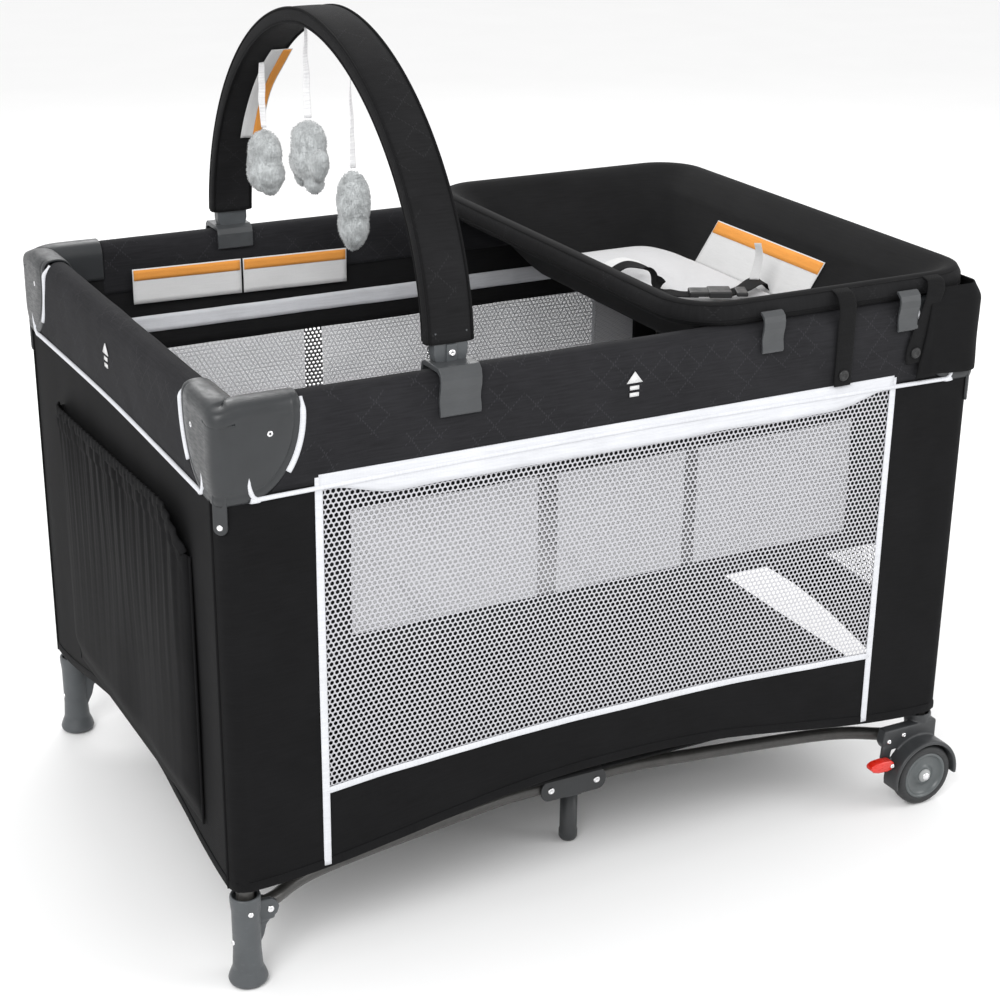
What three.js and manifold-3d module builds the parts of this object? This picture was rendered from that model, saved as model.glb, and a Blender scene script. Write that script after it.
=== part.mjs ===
// Travel play yard: a folding four-legged yard with fabric walls, a raised bassinet,
// a clip-on changing table and a padded toy bar with three hanging plush toys.
// Millimetres. +X runs along the long side towards the wheels, +Y to the back, +Z up.
// The origin is on the floor at the middle of the four legs.

import * as THREE from 'three';
import { mergeVertices } from 'three/addons/utils/BufferGeometryUtils.js';
import Module from 'manifold-3d';

const wasm = await Module();
wasm.setup();

// ---------------------------------------------------------------- driving dimensions

const LEG_X = 503; // leg axis to the middle, along the long side
const LEG_Y = 355; // leg axis to the middle, along the short side
const CAP_TOP = 735; // top of the corner caps
const LEG_RADIUS = 11;
const SOCKET_GAP = 0.35; // clearance round a tube in its socket

const RAIL_Z = 713; // axis of the top rails
const RAIL_RADIUS = 10;
const PIN_RADIUS = 3;
const PIN_HOLE = 3.4; // radius of a hole that turns on a pin
const OPEN_PIN_HOLE = 7.5; // the pivot left open in each rail loop has this slack
const CORNER_PIN = 32; // leg axis to the hinge pins beside it
const LATCH_PIN = 35; // middle of a side to the rail pins in its latch
const TUBE_END = 8; // tube that carries on past its pin

const BASE_Z = 90; // height of every pin of the base linkage
const ARM_RADIUS = 9;
const ARM_INSET = 21; // leg axis to the outer end of a base arm, across it
const BRACKET_Y = 250; // centre brackets of the base, to the middle
const CROSS_PIN_Y = 228; // cross arm pin at the centre bracket
const HUB_PIN_Y = 22; // cross arm pin at the hub

const SKIN_OUT = 18.5; // leg plane to the outer face of the wall fabric
const SKIN_IN = 15.5;
const BAND_END = 417; // rail cover, half length between the corner caps, long side
const BAND_END_SHORT = 269;
const BAND_BOTTOM = 621; // below this the walls reach right round to the corners
const COVER_TOP = 736;
const FLAP_BOTTOM = 682;
const WALL_BOTTOM = 140;
const HEM_RISE = 40; // the bottom hem arches up this far at mid-side

const CAP_FACE = 20; // leg axis to the outer face of a corner cap
const CAP_WALL = 4;
const CAP_WING = 82;
const CAP_BOTTOM = 626;

const WHEEL_RADIUS = 45;
const WHEEL_U = 10; // wheel centre, inward of the leg
const WHEEL_V = -30; // wheel centre, outward of the leg

const BAR_X = -231; // toy bar plane
const BAR_PIVOT_Z = 759;
const BAR_BASE_Z = 760; // where its sides stand upright
const BAR_HALF_SPAN = 356; // outside
const BAR_RISE = 331;
const BAR_THICK = 18;
const BAR_WIDTH = 60;
const BAR_ROUNDNESS = 1.85; // exponent of its superellipse: 2 is an ellipse

const CHANGER_LEFT = 92; // axis of the changing table's rim tube
const CHANGER_RIGHT = 520;
const CHANGER_Y = 352;
const CHANGER_Z = 752;
const RIM_RADIUS = 14;
const RIM_BEND = 60;

const GAP = 0.5; // clearance between neighbouring pieces

// ------------------------------------------------------------------------- materials

function finish(colour, roughness, metalness) {
  return new THREE.MeshStandardMaterial({ color: colour, roughness, metalness });
}

const fabric = () => finish('#222224', 0.9, 0);
const fabricLight = () => finish('#d6d6d8', 0.9, 0);
const plush = () => finish('#a9abad', 1, 0);
const ribbonCloth = () => finish('#f0f0f2', 0.6, 0);
const tubePaint = () => finish('#4d4b49', 0.45, 0.4);
const greyPlastic = () => finish('#4b4e50', 0.5, 0);
const wheelRubber = () => finish('#3a3c3d', 0.6, 0);
const redPlastic = () => finish('#d8261c', 0.4, 0);

// --------------------------------------------------------------------- solid helpers

function solidOf(geometry) {
  const bare = geometry.clone();
  bare.deleteAttribute('normal');
  bare.deleteAttribute('uv');
  const merged = mergeVertices(bare, 1e-3);
  const mesh = new wasm.Mesh({
    numProp: 3,
    vertProperties: new Float32Array(merged.attributes.position.array),
    triVerts: new Uint32Array(merged.index.array),
  });
  return new wasm.Manifold(mesh);
}

function geometryOf(solid, mirrorX = 1, mirrorY = 1) {
  const mesh = solid.getMesh();
  const positions = new Float32Array(mesh.vertProperties);
  const triangles = new Uint32Array(mesh.triVerts);
  for (let i = 0; i < positions.length; i += 3) {
    positions[i] *= mirrorX;
    positions[i + 1] *= mirrorY;
  }
  if (mirrorX * mirrorY < 0) {
    for (let i = 0; i < triangles.length; i += 3) {
      [triangles[i], triangles[i + 1]] = [triangles[i + 1], triangles[i]];
    }
  }
  const geometry = new THREE.BufferGeometry();
  geometry.setAttribute('position', new THREE.BufferAttribute(positions, 3));
  geometry.setIndex(new THREE.BufferAttribute(triangles, 1));
  geometry.computeVertexNormals();
  return geometry;
}

function join(...solids) {
  return solids.reduce((whole, next) => whole.add(next));
}

function cut(base, ...tools) {
  return tools.reduce((whole, next) => whole.subtract(next), base);
}

function box([x0, y0, z0], [x1, y1, z1]) {
  const geometry = new THREE.BoxGeometry(x1 - x0, y1 - y0, z1 - z0);
  geometry.translate((x0 + x1) / 2, (y0 + y1) / 2, (z0 + z1) / 2);
  return solidOf(geometry);
}

function rod(from, to, radius, sides = radius < 8 ? 8 : 12) {
  const start = new THREE.Vector3(...from);
  const end = new THREE.Vector3(...to);
  const geometry = new THREE.CylinderGeometry(radius, radius, start.distanceTo(end), sides);
  const along = end.clone().sub(start).normalize();
  const turn = new THREE.Quaternion().setFromUnitVectors(new THREE.Vector3(0, 1, 0), along);
  geometry.applyQuaternion(turn);
  geometry.translate(...start.add(end).multiplyScalar(0.5).toArray());
  return solidOf(geometry);
}

// A tube along a smooth curve through the given points.
function bentTube(points, radius, steps) {
  const path = new THREE.CatmullRomCurve3(points.map((point) => new THREE.Vector3(...point)));
  const section = new THREE.Shape();
  section.absarc(0, 0, radius, 0, 2 * Math.PI, false);
  return solidOf(
    new THREE.ExtrudeGeometry(section, { steps, extrudePath: path, curveSegments: 5 }),
  );
}

// Turns a profile's (x, y) and depth into the row's axes.
const FACING = {
  x: new THREE.Matrix4().set(0, 0, 1, 0, 1, 0, 0, 0, 0, 1, 0, 0, 0, 0, 0, 1), // (y, z) outline
  y: new THREE.Matrix4().set(1, 0, 0, 0, 0, 0, -1, 0, 0, 1, 0, 0, 0, 0, 0, 1), // (x, z) outline
  z: new THREE.Matrix4(), // (x, y) outline
};

// A slab with the given outline, from low to high along one axis.
function slab(outline, axis, low, high, curveSegments = 5) {
  const geometry = new THREE.ExtrudeGeometry(outline, {
    depth: high - low,
    bevelEnabled: false,
    curveSegments,
  });
  geometry.applyMatrix4(FACING[axis]);
  const start = axis === 'y' ? high : low;
  geometry.translate(axis === 'x' ? start : 0, axis === 'y' ? start : 0, axis === 'z' ? start : 0);
  return solidOf(geometry);
}

function outlineOf(points) {
  return new THREE.Shape(points.map(([x, y]) => new THREE.Vector2(x, y)));
}

// A block whose top and bottom rectangles differ: [x0, y0, x1, y1] and a height each.
function taperedBlock(bottom, bottomZ, top, topZ) {
  const geometry = new THREE.BoxGeometry(2, 2, 2);
  const at = geometry.attributes.position;
  for (let i = 0; i < at.count; i += 1) {
    const rectangle = at.getZ(i) > 0 ? top : bottom;
    const x = at.getX(i) > 0 ? rectangle[2] : rectangle[0];
    const y = at.getY(i) > 0 ? rectangle[3] : rectangle[1];
    at.setXYZ(i, x, y, at.getZ(i) > 0 ? topZ : bottomZ);
  }
  return solidOf(geometry);
}

function ellipsoid(centre, radii) {
  const geometry = new THREE.SphereGeometry(1, 12, 8);
  geometry.scale(...radii);
  geometry.translate(...centre);
  return solidOf(geometry);
}

const playYard = new THREE.Group();

function addPiece(parent, name, solid, material, mirrorX = 1, mirrorY = 1) {
  const mesh = new THREE.Mesh(geometryOf(solid, mirrorX, mirrorY), material);
  mesh.name = name;
  parent.add(mesh);
}

// ------------------------------------------------------------- corners
// A corner piece is drawn about its leg's foot, with u inward along the long side and
// v inward along the short side, and mirrored for the other corners.

const LEG_BOTTOM = 100;
const LEG_TOP = 700;

function leg() {
  return rod([0, 0, LEG_BOTTOM], [0, 0, LEG_TOP], LEG_RADIUS);
}

function legSocket(bottom) {
  return rod([0, 0, bottom], [0, 0, bottom + 200], LEG_RADIUS + SOCKET_GAP);
}

// Both wings of a cap, as an L seen from above, from an outer to an inner offset.
function cornerL(offset, reach) {
  const outline = new THREE.Shape();
  outline.moveTo(reach, -offset);
  outline.lineTo(0, -offset);
  outline.absarc(0, 0, offset, -Math.PI / 2, -Math.PI, true);
  outline.lineTo(-offset, reach);
  outline.lineTo(offset, reach);
  outline.lineTo(offset, offset);
  outline.lineTo(reach, offset);
  outline.closePath();
  return outline;
}

// What is cut away below a wing's shield-shaped edge, as a (run, height) outline.
function belowShield() {
  const start = 12;
  const outline = new THREE.Shape();
  outline.moveTo(start, CAP_BOTTOM - 20);
  outline.lineTo(start, CAP_BOTTOM);
  outline.absellipse(start, 722, CAP_WING - start, 722 - CAP_BOTTOM, -Math.PI / 2, 0, false);
  outline.lineTo(CAP_WING + 20, 722);
  outline.lineTo(CAP_WING + 20, CAP_BOTTOM - 20);
  outline.closePath();
  return outline;
}

function cornerCap() {
  const ceiling = 729;
  const coreRadius = 16;
  const shell = cut(
    slab(cornerL(CAP_FACE, CAP_WING), 'z', CAP_BOTTOM, CAP_TOP),
    slab(cornerL(CAP_FACE - CAP_WALL, CAP_WING + 20), 'z', CAP_BOTTOM - 20, ceiling),
    slab(belowShield(), 'y', -CAP_FACE - 10, CAP_FACE + 10),
    slab(belowShield(), 'x', -CAP_FACE - 10, CAP_FACE + 10),
  );
  const core = rod([0, 0, CAP_BOTTOM], [0, 0, ceiling + 2], coreRadius + 1);
  const tab = box([-CAP_FACE - 3, -8, 590], [-CAP_FACE + 1, 8, 650]);
  const pinEnd = CAP_FACE - 1;
  const longPin = rod([CORNER_PIN, -pinEnd, RAIL_Z], [CORNER_PIN, pinEnd, RAIL_Z], PIN_RADIUS);
  const shortPin = rod([-pinEnd, CORNER_PIN, RAIL_Z], [pinEnd, CORNER_PIN, RAIL_Z], PIN_RADIUS);
  const socket = rod([0, 0, CAP_BOTTOM - 20], [0, 0, LEG_TOP + GAP], LEG_RADIUS + SOCKET_GAP);
  return cut(join(shell, core, tab, longPin, shortPin), socket);
}

// The plate beside a leg that a base arm turns on, with its pin.
function armLug() {
  const plate = outlineOf([
    [8, BASE_Z - 14], [36, BASE_Z - 12], [42, BASE_Z], [36, BASE_Z + 14], [8, BASE_Z + 14],
  ]);
  const pinEnd = ARM_INSET + ARM_RADIUS + 3;
  const pin = rod([CORNER_PIN, 4, BASE_Z], [CORNER_PIN, pinEnd, BASE_Z], PIN_RADIUS);
  return join(slab(plate, 'y', 3, 9), pin);
}

function plainFoot() {
  const profile = [
    [0, 0], [22, 0], [24, 5], [22, 12], [18, 22], [16.5, 45], [17, 118], [16, 121], [0, 121],
  ];
  const body = new THREE.LatheGeometry(profile.map(([r, z]) => new THREE.Vector2(r, z)), 20);
  body.rotateX(Math.PI / 2);
  const web = outlineOf([[4, 38], [20, 50], [27, 72], [36, BASE_Z - 12], [12, BASE_Z - 8]]);
  return cut(join(solidOf(body), slab(web, 'y', 3, 9), armLug()), legSocket(LEG_BOTTOM - GAP));
}

// The half-ring mudguard over a wheel.
function mudguard(inner, outer, from, to) {
  const outline = new THREE.Shape();
  outline.absarc(WHEEL_U, WHEEL_RADIUS, outer, from, to, false);
  outline.absarc(WHEEL_U, WHEEL_RADIUS, inner, to, from, true);
  outline.closePath();
  return outline;
}

const LEVER_U = 66;
const LEVER_Z = 72;

function wheelBracket() {
  const block = outlineOf([[-20, 88], [58, 86], [68, 90], [72, 98], [70, 118], [-20, 118]]);
  const axlePlate = outlineOf([[-4, 32], [24, 32], [28, 94], [-8, 94]]);
  const leverLug = outlineOf([[58, 64], [74, 64], [72, 94], [56, 94]]);
  const solid = join(
    slab(block, 'y', -18, -3),
    slab(axlePlate, 'y', -16, -8),
    slab(leverLug, 'y', -19, -15),
    slab(mudguard(48.5, 53.5, -0.2, Math.PI + 0.1), 'y', -43, -14, 8),
    rod([0, 0, 80], [0, 0, 128], 17),
    rod([WHEEL_U, WHEEL_V - 13, WHEEL_RADIUS], [WHEEL_U, -10, WHEEL_RADIUS], 5),
    rod([LEVER_U, -36, LEVER_Z], [LEVER_U, -16, LEVER_Z], PIN_RADIUS),
    armLug(),
  );
  return cut(solid, legSocket(LEG_BOTTOM - GAP));
}

// The wheel: a tyre with a raised rim and a dished disc, turning on the bracket's axle.
function wheel() {
  const half = 11;
  const profile = [
    [5.4, -half], [12, -half], [14, -half + 4], [32, -half + 4], [34, -half],
    [41, -half], [WHEEL_RADIUS, -half + 4], [WHEEL_RADIUS, half - 3], [42, half],
    [5.4, half], [5.4, -half],
  ];
  const body = new THREE.LatheGeometry(profile.map(([r, y]) => new THREE.Vector2(r, y)), 24);
  body.translate(WHEEL_U, WHEEL_V, WHEEL_RADIUS);
  return solidOf(body);
}

function brakeLever() {
  const boss = rod([LEVER_U, -34, LEVER_Z], [LEVER_U, -19.5, LEVER_Z], 6.5);
  const pedal = outlineOf([
    [LEVER_U, 66], [90, 66], [100, 70], [101, 75], [96, 79], [80, 80], [LEVER_U, 78],
  ]);
  const hole = rod([LEVER_U, -40, LEVER_Z], [LEVER_U, -15, LEVER_Z], PIN_HOLE);
  return cut(join(boss, slab(pedal, 'y', -34, -19.5)), hole);
}

// A bent base arm: out of the corner at a slant, then along the side to the bracket.
const BRACKET_V = LEG_Y - BRACKET_Y;
const ARM_END_U = LEG_X - LATCH_PIN;

function baseArm() {
  const slantLength = 91;
  const tube = bentTube([
    [CORNER_PIN - TUBE_END, ARM_INSET, BASE_Z],
    [CORNER_PIN + 10, ARM_INSET, BASE_Z],
    [CORNER_PIN + slantLength, 58, BASE_Z],
    [ARM_END_U - 120, BRACKET_V - 9, BASE_Z],
    [ARM_END_U - 50, BRACKET_V, BASE_Z],
    [ARM_END_U + TUBE_END, BRACKET_V, BASE_Z],
  ], ARM_RADIUS, 16);
  const outerHole = rod([CORNER_PIN, 0, BASE_Z], [CORNER_PIN, 50, BASE_Z], PIN_HOLE);
  const innerHole = rod(
    [ARM_END_U, BRACKET_V - 30, BASE_Z],
    [ARM_END_U, BRACKET_V + 30, BASE_Z],
    PIN_HOLE,
  );
  return cut(tube, outerHole, innerHole);
}

// Half a top rail. `along` turns a distance from the leg into a point on the rail.
function halfRail(along, across, latchDistance, latchHole) {
  const tube = rod(along(CORNER_PIN - TUBE_END), along(latchDistance + TUBE_END), RAIL_RADIUS);
  const cornerHole = rod(across(CORNER_PIN, -20), across(CORNER_PIN, 20), PIN_HOLE);
  const endHole = rod(across(latchDistance, -20), across(latchDistance, 20), latchHole);
  return cut(tube, cornerHole, endHole);
}

function halfRailLong(latchHole) {
  const along = (run) => [run, 0, RAIL_Z];
  const across = (run, side) => [run, side, RAIL_Z];
  return halfRail(along, across, LEG_X - LATCH_PIN, latchHole);
}

function halfRailShort(latchHole) {
  const along = (run) => [0, run, RAIL_Z];
  const across = (run, side) => [side, run, RAIL_Z];
  return halfRail(along, across, LEG_Y - LATCH_PIN, latchHole);
}

const corners = [
  { name: 'front_left', mx: 1, my: 1, wheeled: false },
  { name: 'front_right', mx: -1, my: 1, wheeled: true },
  { name: 'back_left', mx: 1, my: -1, wheeled: false },
  { name: 'back_right', mx: -1, my: -1, wheeled: true },
];

for (const { name, mx, my, wheeled } of corners) {
  const corner = new THREE.Group();
  corner.position.set(-mx * LEG_X, -my * LEG_Y, 0);
  addPiece(corner, `leg_${name}`, leg(), tubePaint(), mx, my);
  addPiece(corner, `corner_cap_${name}`, cornerCap(), greyPlastic(), mx, my);
  addPiece(corner, `base_arm_${name}`, baseArm(), tubePaint(), mx, my);
  // each rail loop is open at the latch end of its right-hand or back half
  const longHole = mx > 0 ? PIN_HOLE : OPEN_PIN_HOLE;
  const shortHole = my > 0 ? PIN_HOLE : OPEN_PIN_HOLE;
  addPiece(corner, `long_rail_${name}`, halfRailLong(longHole), tubePaint(), mx, my);
  addPiece(corner, `short_rail_${name}`, halfRailShort(shortHole), tubePaint(), mx, my);
  if (wheeled) {
    addPiece(corner, `wheel_bracket_${name}`, wheelBracket(), greyPlastic(), mx, my);
    addPiece(corner, `wheel_${name}`, wheel(), wheelRubber(), mx, my);
    addPiece(corner, `brake_lever_${name}`, brakeLever(), redPlastic(), mx, my);
  } else {
    addPiece(corner, `foot_${name}`, plainFoot(), greyPlastic(), mx, my);
  }
  playYard.add(corner);
}

// ------------------------------------------------------------------- rail latches
// Two side plates and a middle block, joining two half rails. Drawn along X.

function railLatch() {
  const plate = [50, 12];
  const pins = [-LATCH_PIN, LATCH_PIN].map((x) => rod([x, -12, 0], [x, 12, 0], PIN_RADIUS));
  const plates = [-14, 11.5].map((y) =>
    box([-plate[0], y, -plate[1]], [plate[0], y + 2.5, plate[1]]),
  );
  return join(box([-14, -13, -11], [14, 13, 11]), ...plates, ...pins);
}

const latches = [
  { name: 'front', x: 0, y: -LEG_Y, turn: 0 },
  { name: 'back', x: 0, y: LEG_Y, turn: 0 },
  { name: 'left', x: -LEG_X, y: 0, turn: Math.PI / 2 },
  { name: 'right', x: LEG_X, y: 0, turn: Math.PI / 2 },
];

for (const { name, x, y, turn } of latches) {
  const holder = new THREE.Group();
  holder.position.set(x, y, RAIL_Z);
  holder.rotation.z = turn;
  addPiece(holder, `rail_latch_${name}`, railLatch(), greyPlastic());
  playYard.add(holder);
}

// ------------------------------------------------------------------- base linkage

// A centre bracket: two plates that hold the arms, a middle block, its support foot
// and the lug for the cross arm. Drawn at the front and mirrored to the back.
function centreBracket() {
  const plateOut = 13;
  const plates = [-BRACKET_Y - plateOut, -BRACKET_Y + plateOut - 3].map((y) =>
    box([-50, y, BASE_Z - 15], [50, y + 3, BASE_Z + 15]),
  );
  const pins = [-LATCH_PIN, LATCH_PIN].map((x) =>
    rod([x, -BRACKET_Y - plateOut + 1, BASE_Z], [x, -BRACKET_Y + plateOut - 1, BASE_Z], PIN_RADIUS),
  );
  const block = box(
    [-13, -BRACKET_Y - plateOut + 0.5, BASE_Z - 17],
    [13, -BRACKET_Y + plateOut - 0.5, BASE_Z + 17],
  );
  const foot = rod([0, -BRACKET_Y, 0], [0, -BRACKET_Y, BASE_Z - 10], 12, 16);
  const lug = join(
    box([-4, -BRACKET_Y + plateOut - 1, BASE_Z - 8], [4, -CROSS_PIN_Y, BASE_Z + 8]),
    rod([-4, -CROSS_PIN_Y, BASE_Z], [4, -CROSS_PIN_Y, BASE_Z], 8),
    rod([-9, -CROSS_PIN_Y, BASE_Z], [9, -CROSS_PIN_Y, BASE_Z], PIN_RADIUS),
  );
  return join(...plates, ...pins, block, foot, lug);
}

// A cross arm from a centre bracket to the hub, with a fork at each end.
function crossArm() {
  const forkInner = 4.5;
  const forkOuter = 8.5;
  const cheek = (side, pinY, towards) => {
    const [x0, x1] = side > 0 ? [forkInner, forkOuter] : [-forkOuter, -forkInner];
    const low = Math.min(pinY, pinY + towards);
    const high = Math.max(pinY, pinY + towards);
    return join(
      rod([x0, pinY, BASE_Z], [x1, pinY, BASE_Z], 8),
      box([x0, low, BASE_Z - 7], [x1, high, BASE_Z + 7]),
    );
  };
  const reach = 20;
  const cheeks = [1, -1].flatMap((side) => [
    cheek(side, -CROSS_PIN_Y, reach),
    cheek(side, -HUB_PIN_Y, -reach),
  ]);
  const tube = rod([0, -CROSS_PIN_Y + 14, BASE_Z], [0, -HUB_PIN_Y - 14, BASE_Z], ARM_RADIUS);
  const holes = [CROSS_PIN_Y, HUB_PIN_Y].map((y) =>
    rod([-12, -y, BASE_Z], [12, -y, BASE_Z], PIN_HOLE),
  );
  return cut(join(tube, ...cheeks), ...holes);
}

function hub() {
  const lugs = [-HUB_PIN_Y, HUB_PIN_Y].flatMap((y) => [
    box([-4, Math.min(0, y), BASE_Z - 8], [4, Math.max(0, y), BASE_Z + 8]),
    rod([-4, y, BASE_Z], [4, y, BASE_Z], 8),
    rod([-9, y, BASE_Z], [9, y, BASE_Z], PIN_RADIUS),
  ]);
  return join(box([-24, -9, BASE_Z - 18], [24, 9, BASE_Z + 18]), ...lugs);
}

for (const [name, my] of [['front', 1], ['back', -1]]) {
  addPiece(playYard, `centre_bracket_${name}`, centreBracket(), greyPlastic(), 1, my);
  addPiece(playYard, `cross_arm_${name}`, crossArm(), tubePaint(), 1, my);
}
addPiece(playYard, 'centre_hub', hub(), greyPlastic());

// --------------------------------------------------------------------- soft goods

// A wall: the cover over the rail as an inverted U between the caps, and one sheet
// below it that runs to the corners. Drawn along X, with the outside at -Y.
function wall(bandHalf, cornerHalf) {
  const hemHalf = bandHalf - 12;
  const cover = outlineOf([
    [-SKIN_OUT, BAND_BOTTOM - 2], [-SKIN_IN, BAND_BOTTOM - 2], [-SKIN_IN, COVER_TOP - 3],
    [SKIN_IN, COVER_TOP - 3], [SKIN_IN, FLAP_BOTTOM], [SKIN_OUT, FLAP_BOTTOM],
    [SKIN_OUT, COVER_TOP], [-SKIN_OUT, COVER_TOP],
  ]);
  const sheet = box([-cornerHalf, -SKIN_OUT, WALL_BOTTOM], [cornerHalf, -SKIN_IN, BAND_BOTTOM]);
  const hem = new THREE.Shape();
  hem.moveTo(-hemHalf, WALL_BOTTOM - 20);
  hem.lineTo(-hemHalf, WALL_BOTTOM + 5);
  hem.quadraticCurveTo(0, WALL_BOTTOM + 5 + 2 * HEM_RISE, hemHalf, WALL_BOTTOM + 5);
  hem.lineTo(hemHalf, WALL_BOTTOM - 20);
  hem.closePath();
  const whole = join(slab(cover, 'x', -bandHalf, bandHalf), sheet);
  return cut(whole, slab(hem, 'y', -SKIN_OUT - 5, -SKIN_IN + 5));
}

const walls = [
  { name: 'front', x: 0, y: -LEG_Y, turn: 0, long: true },
  { name: 'right', x: LEG_X, y: 0, turn: Math.PI / 2, long: false },
  { name: 'back', x: 0, y: LEG_Y, turn: Math.PI, long: true },
  { name: 'left', x: -LEG_X, y: 0, turn: -Math.PI / 2, long: false },
];

for (const { name, x, y, turn, long } of walls) {
  const holder = new THREE.Group();
  holder.position.set(x, y, 0);
  holder.rotation.z = turn;
  // the short walls lap over the ends of the long ones
  const band = long ? BAND_END : BAND_END_SHORT;
  const corner = long ? LEG_X + SKIN_IN - GAP : LEG_Y + SKIN_OUT;
  addPiece(holder, `wall_${name}`, wall(band, corner), fabric());
  playYard.add(holder);
}

// A hollow box of cloth, open at the top: [x0, y0, x1, y1], its heights and thickness.
function clothTub([x0, y0, x1, y1], bottom, top, thick) {
  return cut(
    box([x0, y0, bottom], [x1, y1, top]),
    box([x0 + thick, y0 + thick, bottom + thick], [x1 - thick, y1 - thick, top + 10]),
  );
}

const POCKET = { outer: -546.5, front: -279, back: 220, bottom: 182, top: 586 };

function sidePocket() {
  const inner = -LEG_X - SKIN_OUT - GAP;
  return cut(
    box([POCKET.outer, POCKET.front, POCKET.bottom], [inner, POCKET.back, POCKET.top]),
    box(
      [POCKET.outer + 3, POCKET.front + 3, POCKET.bottom + 3],
      [inner + 10, POCKET.back - 3, POCKET.top + 10],
    ),
  );
}

const TUB_X = LEG_X - SKIN_OUT - 1.5;
const TUB_Y = LEG_Y - SKIN_OUT - 1.5;
const TUB_BOTTOM = 392;
const TUB_TOP = 700;
const TUB_THICK = 4;

addPiece(playYard, 'side_pocket', sidePocket(), fabric());
addPiece(playYard, 'floor_panel', box([-484, -336, 150], [484, 336, 155]), fabric());
addPiece(
  playYard,
  'bassinet',
  clothTub([-TUB_X, -TUB_Y, TUB_X, TUB_Y], TUB_BOTTOM, TUB_TOP, TUB_THICK),
  fabric(),
);
addPiece(
  playYard,
  'mattress',
  box([-470, -322, TUB_BOTTOM + TUB_THICK + GAP], [470, 322, TUB_BOTTOM + 30]),
  fabricLight(),
);

// ------------------------------------------------------------------------ toy bar

const CLAMP_FACE = LEG_Y + SKIN_OUT + 1; // inside of the clamp's outer lip
const TILT_PIN = 4;

// A point of the bar's curve, `inset` inside its outer face, at a turn from 0 (the
// front foot) to pi (the back foot).
function barPoint(turn, inset) {
  const power = 2 / BAR_ROUNDNESS;
  const across = Math.sign(Math.cos(turn)) * Math.abs(Math.cos(turn)) ** power;
  return [
    -(BAR_HALF_SPAN - inset) * across,
    BAR_BASE_Z + (BAR_RISE - inset) * Math.sin(turn) ** power,
  ];
}

function toyBar() {
  const sleeveEnd = 0.042; // the turn at which the sleeve is hemmed
  const segments = 26;
  const turns = Array.from(
    { length: segments + 1 },
    (_, i) => sleeveEnd + (i * (Math.PI - 2 * sleeveEnd)) / segments,
  );
  const outer = turns.map((turn) => barPoint(turn, 0));
  const inner = turns.map((turn) => barPoint(turn, BAR_THICK)).reverse();
  const sleeve = slab(
    outlineOf([...outer, ...inner]),
    'x',
    BAR_X - BAR_WIDTH / 2,
    BAR_X + BAR_WIDTH / 2,
  );
  const tongue = (my) => {
    const y0 = Math.min(my * 348, my * 354);
    const y1 = Math.max(my * 348, my * 354);
    const hole = rod([BAR_X, y0 - 5, BAR_PIVOT_Z], [BAR_X, y1 + 5, BAR_PIVOT_Z], TILT_PIN + 0.5);
    const plate = join(
      box([BAR_X - 14, y0, BAR_PIVOT_Z], [BAR_X + 14, y1, 785]),
      rod([BAR_X, y0, BAR_PIVOT_Z], [BAR_X, y1, BAR_PIVOT_Z], 11.5, 16),
    );
    return cut(plate, hole);
  };
  return join(sleeve, tongue(-1), tongue(1));
}

// A clamp over the covered rail, with the lug that the toy bar tilts on.
function toyBarClamp() {
  const half = 26;
  const top = COVER_TOP + 1;
  const jaw = outlineOf([
    [-CLAMP_FACE - 6, 690], [-CLAMP_FACE, 694], [-CLAMP_FACE, top], [-334, top],
    [-334, 706], [-329, 703], [-329, top + 6], [-CLAMP_FACE - 3, top + 6], [-CLAMP_FACE - 6, top],
  ]);
  const lug = outlineOf([[-11, top + 2], [11, top + 2], [8, 767], [-8, 767]]);
  const lugSlab = slab(lug, 'y', -347.4, -340);
  const pin = rod([0, -358, BAR_PIVOT_Z], [0, -342, BAR_PIVOT_Z], TILT_PIN);
  return join(slab(jaw, 'x', -half, half), lugSlab, pin);
}

addPiece(playYard, 'toy_bar', toyBar(), fabric());
for (const [name, my] of [['front', 1], ['back', -1]]) {
  const holder = new THREE.Group();
  holder.position.x = BAR_X;
  addPiece(holder, `toy_bar_clamp_${name}`, toyBarClamp(), greyPlastic(), 1, my);
  playYard.add(holder);
}

// Each toy hangs on a short ribbon from the underside of the bar.
const toys = [
  { name: 'left', y: 205, toyTop: 908, radii: [28, 40, 46] },
  { name: 'middle', y: 50, toyTop: 948, radii: [28, 38, 50] },
  { name: 'right', y: -88, toyTop: 912, radii: [24, 28, 56] },
];
const RIBBON_RADIUS = 2;

for (const { name, y, toyTop, radii } of toys) {
  const across = Math.abs(y) / (BAR_HALF_SPAN - BAR_THICK);
  const height = (1 - across ** BAR_ROUNDNESS) ** (1 / BAR_ROUNDNESS);
  const anchorZ = BAR_BASE_Z + (BAR_RISE - BAR_THICK) * height - 4;
  const ribbon = rod([BAR_X, y, toyTop + GAP], [BAR_X, y, anchorZ], RIBBON_RADIUS, 8);
  const body = ellipsoid([BAR_X, y, toyTop - radii[2]], radii);
  addPiece(playYard, `toy_ribbon_${name}`, ribbon, ribbonCloth());
  addPiece(playYard, `plush_toy_${name}`, body, plush());
}

// ----------------------------------------------------------------- changing table

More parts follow.
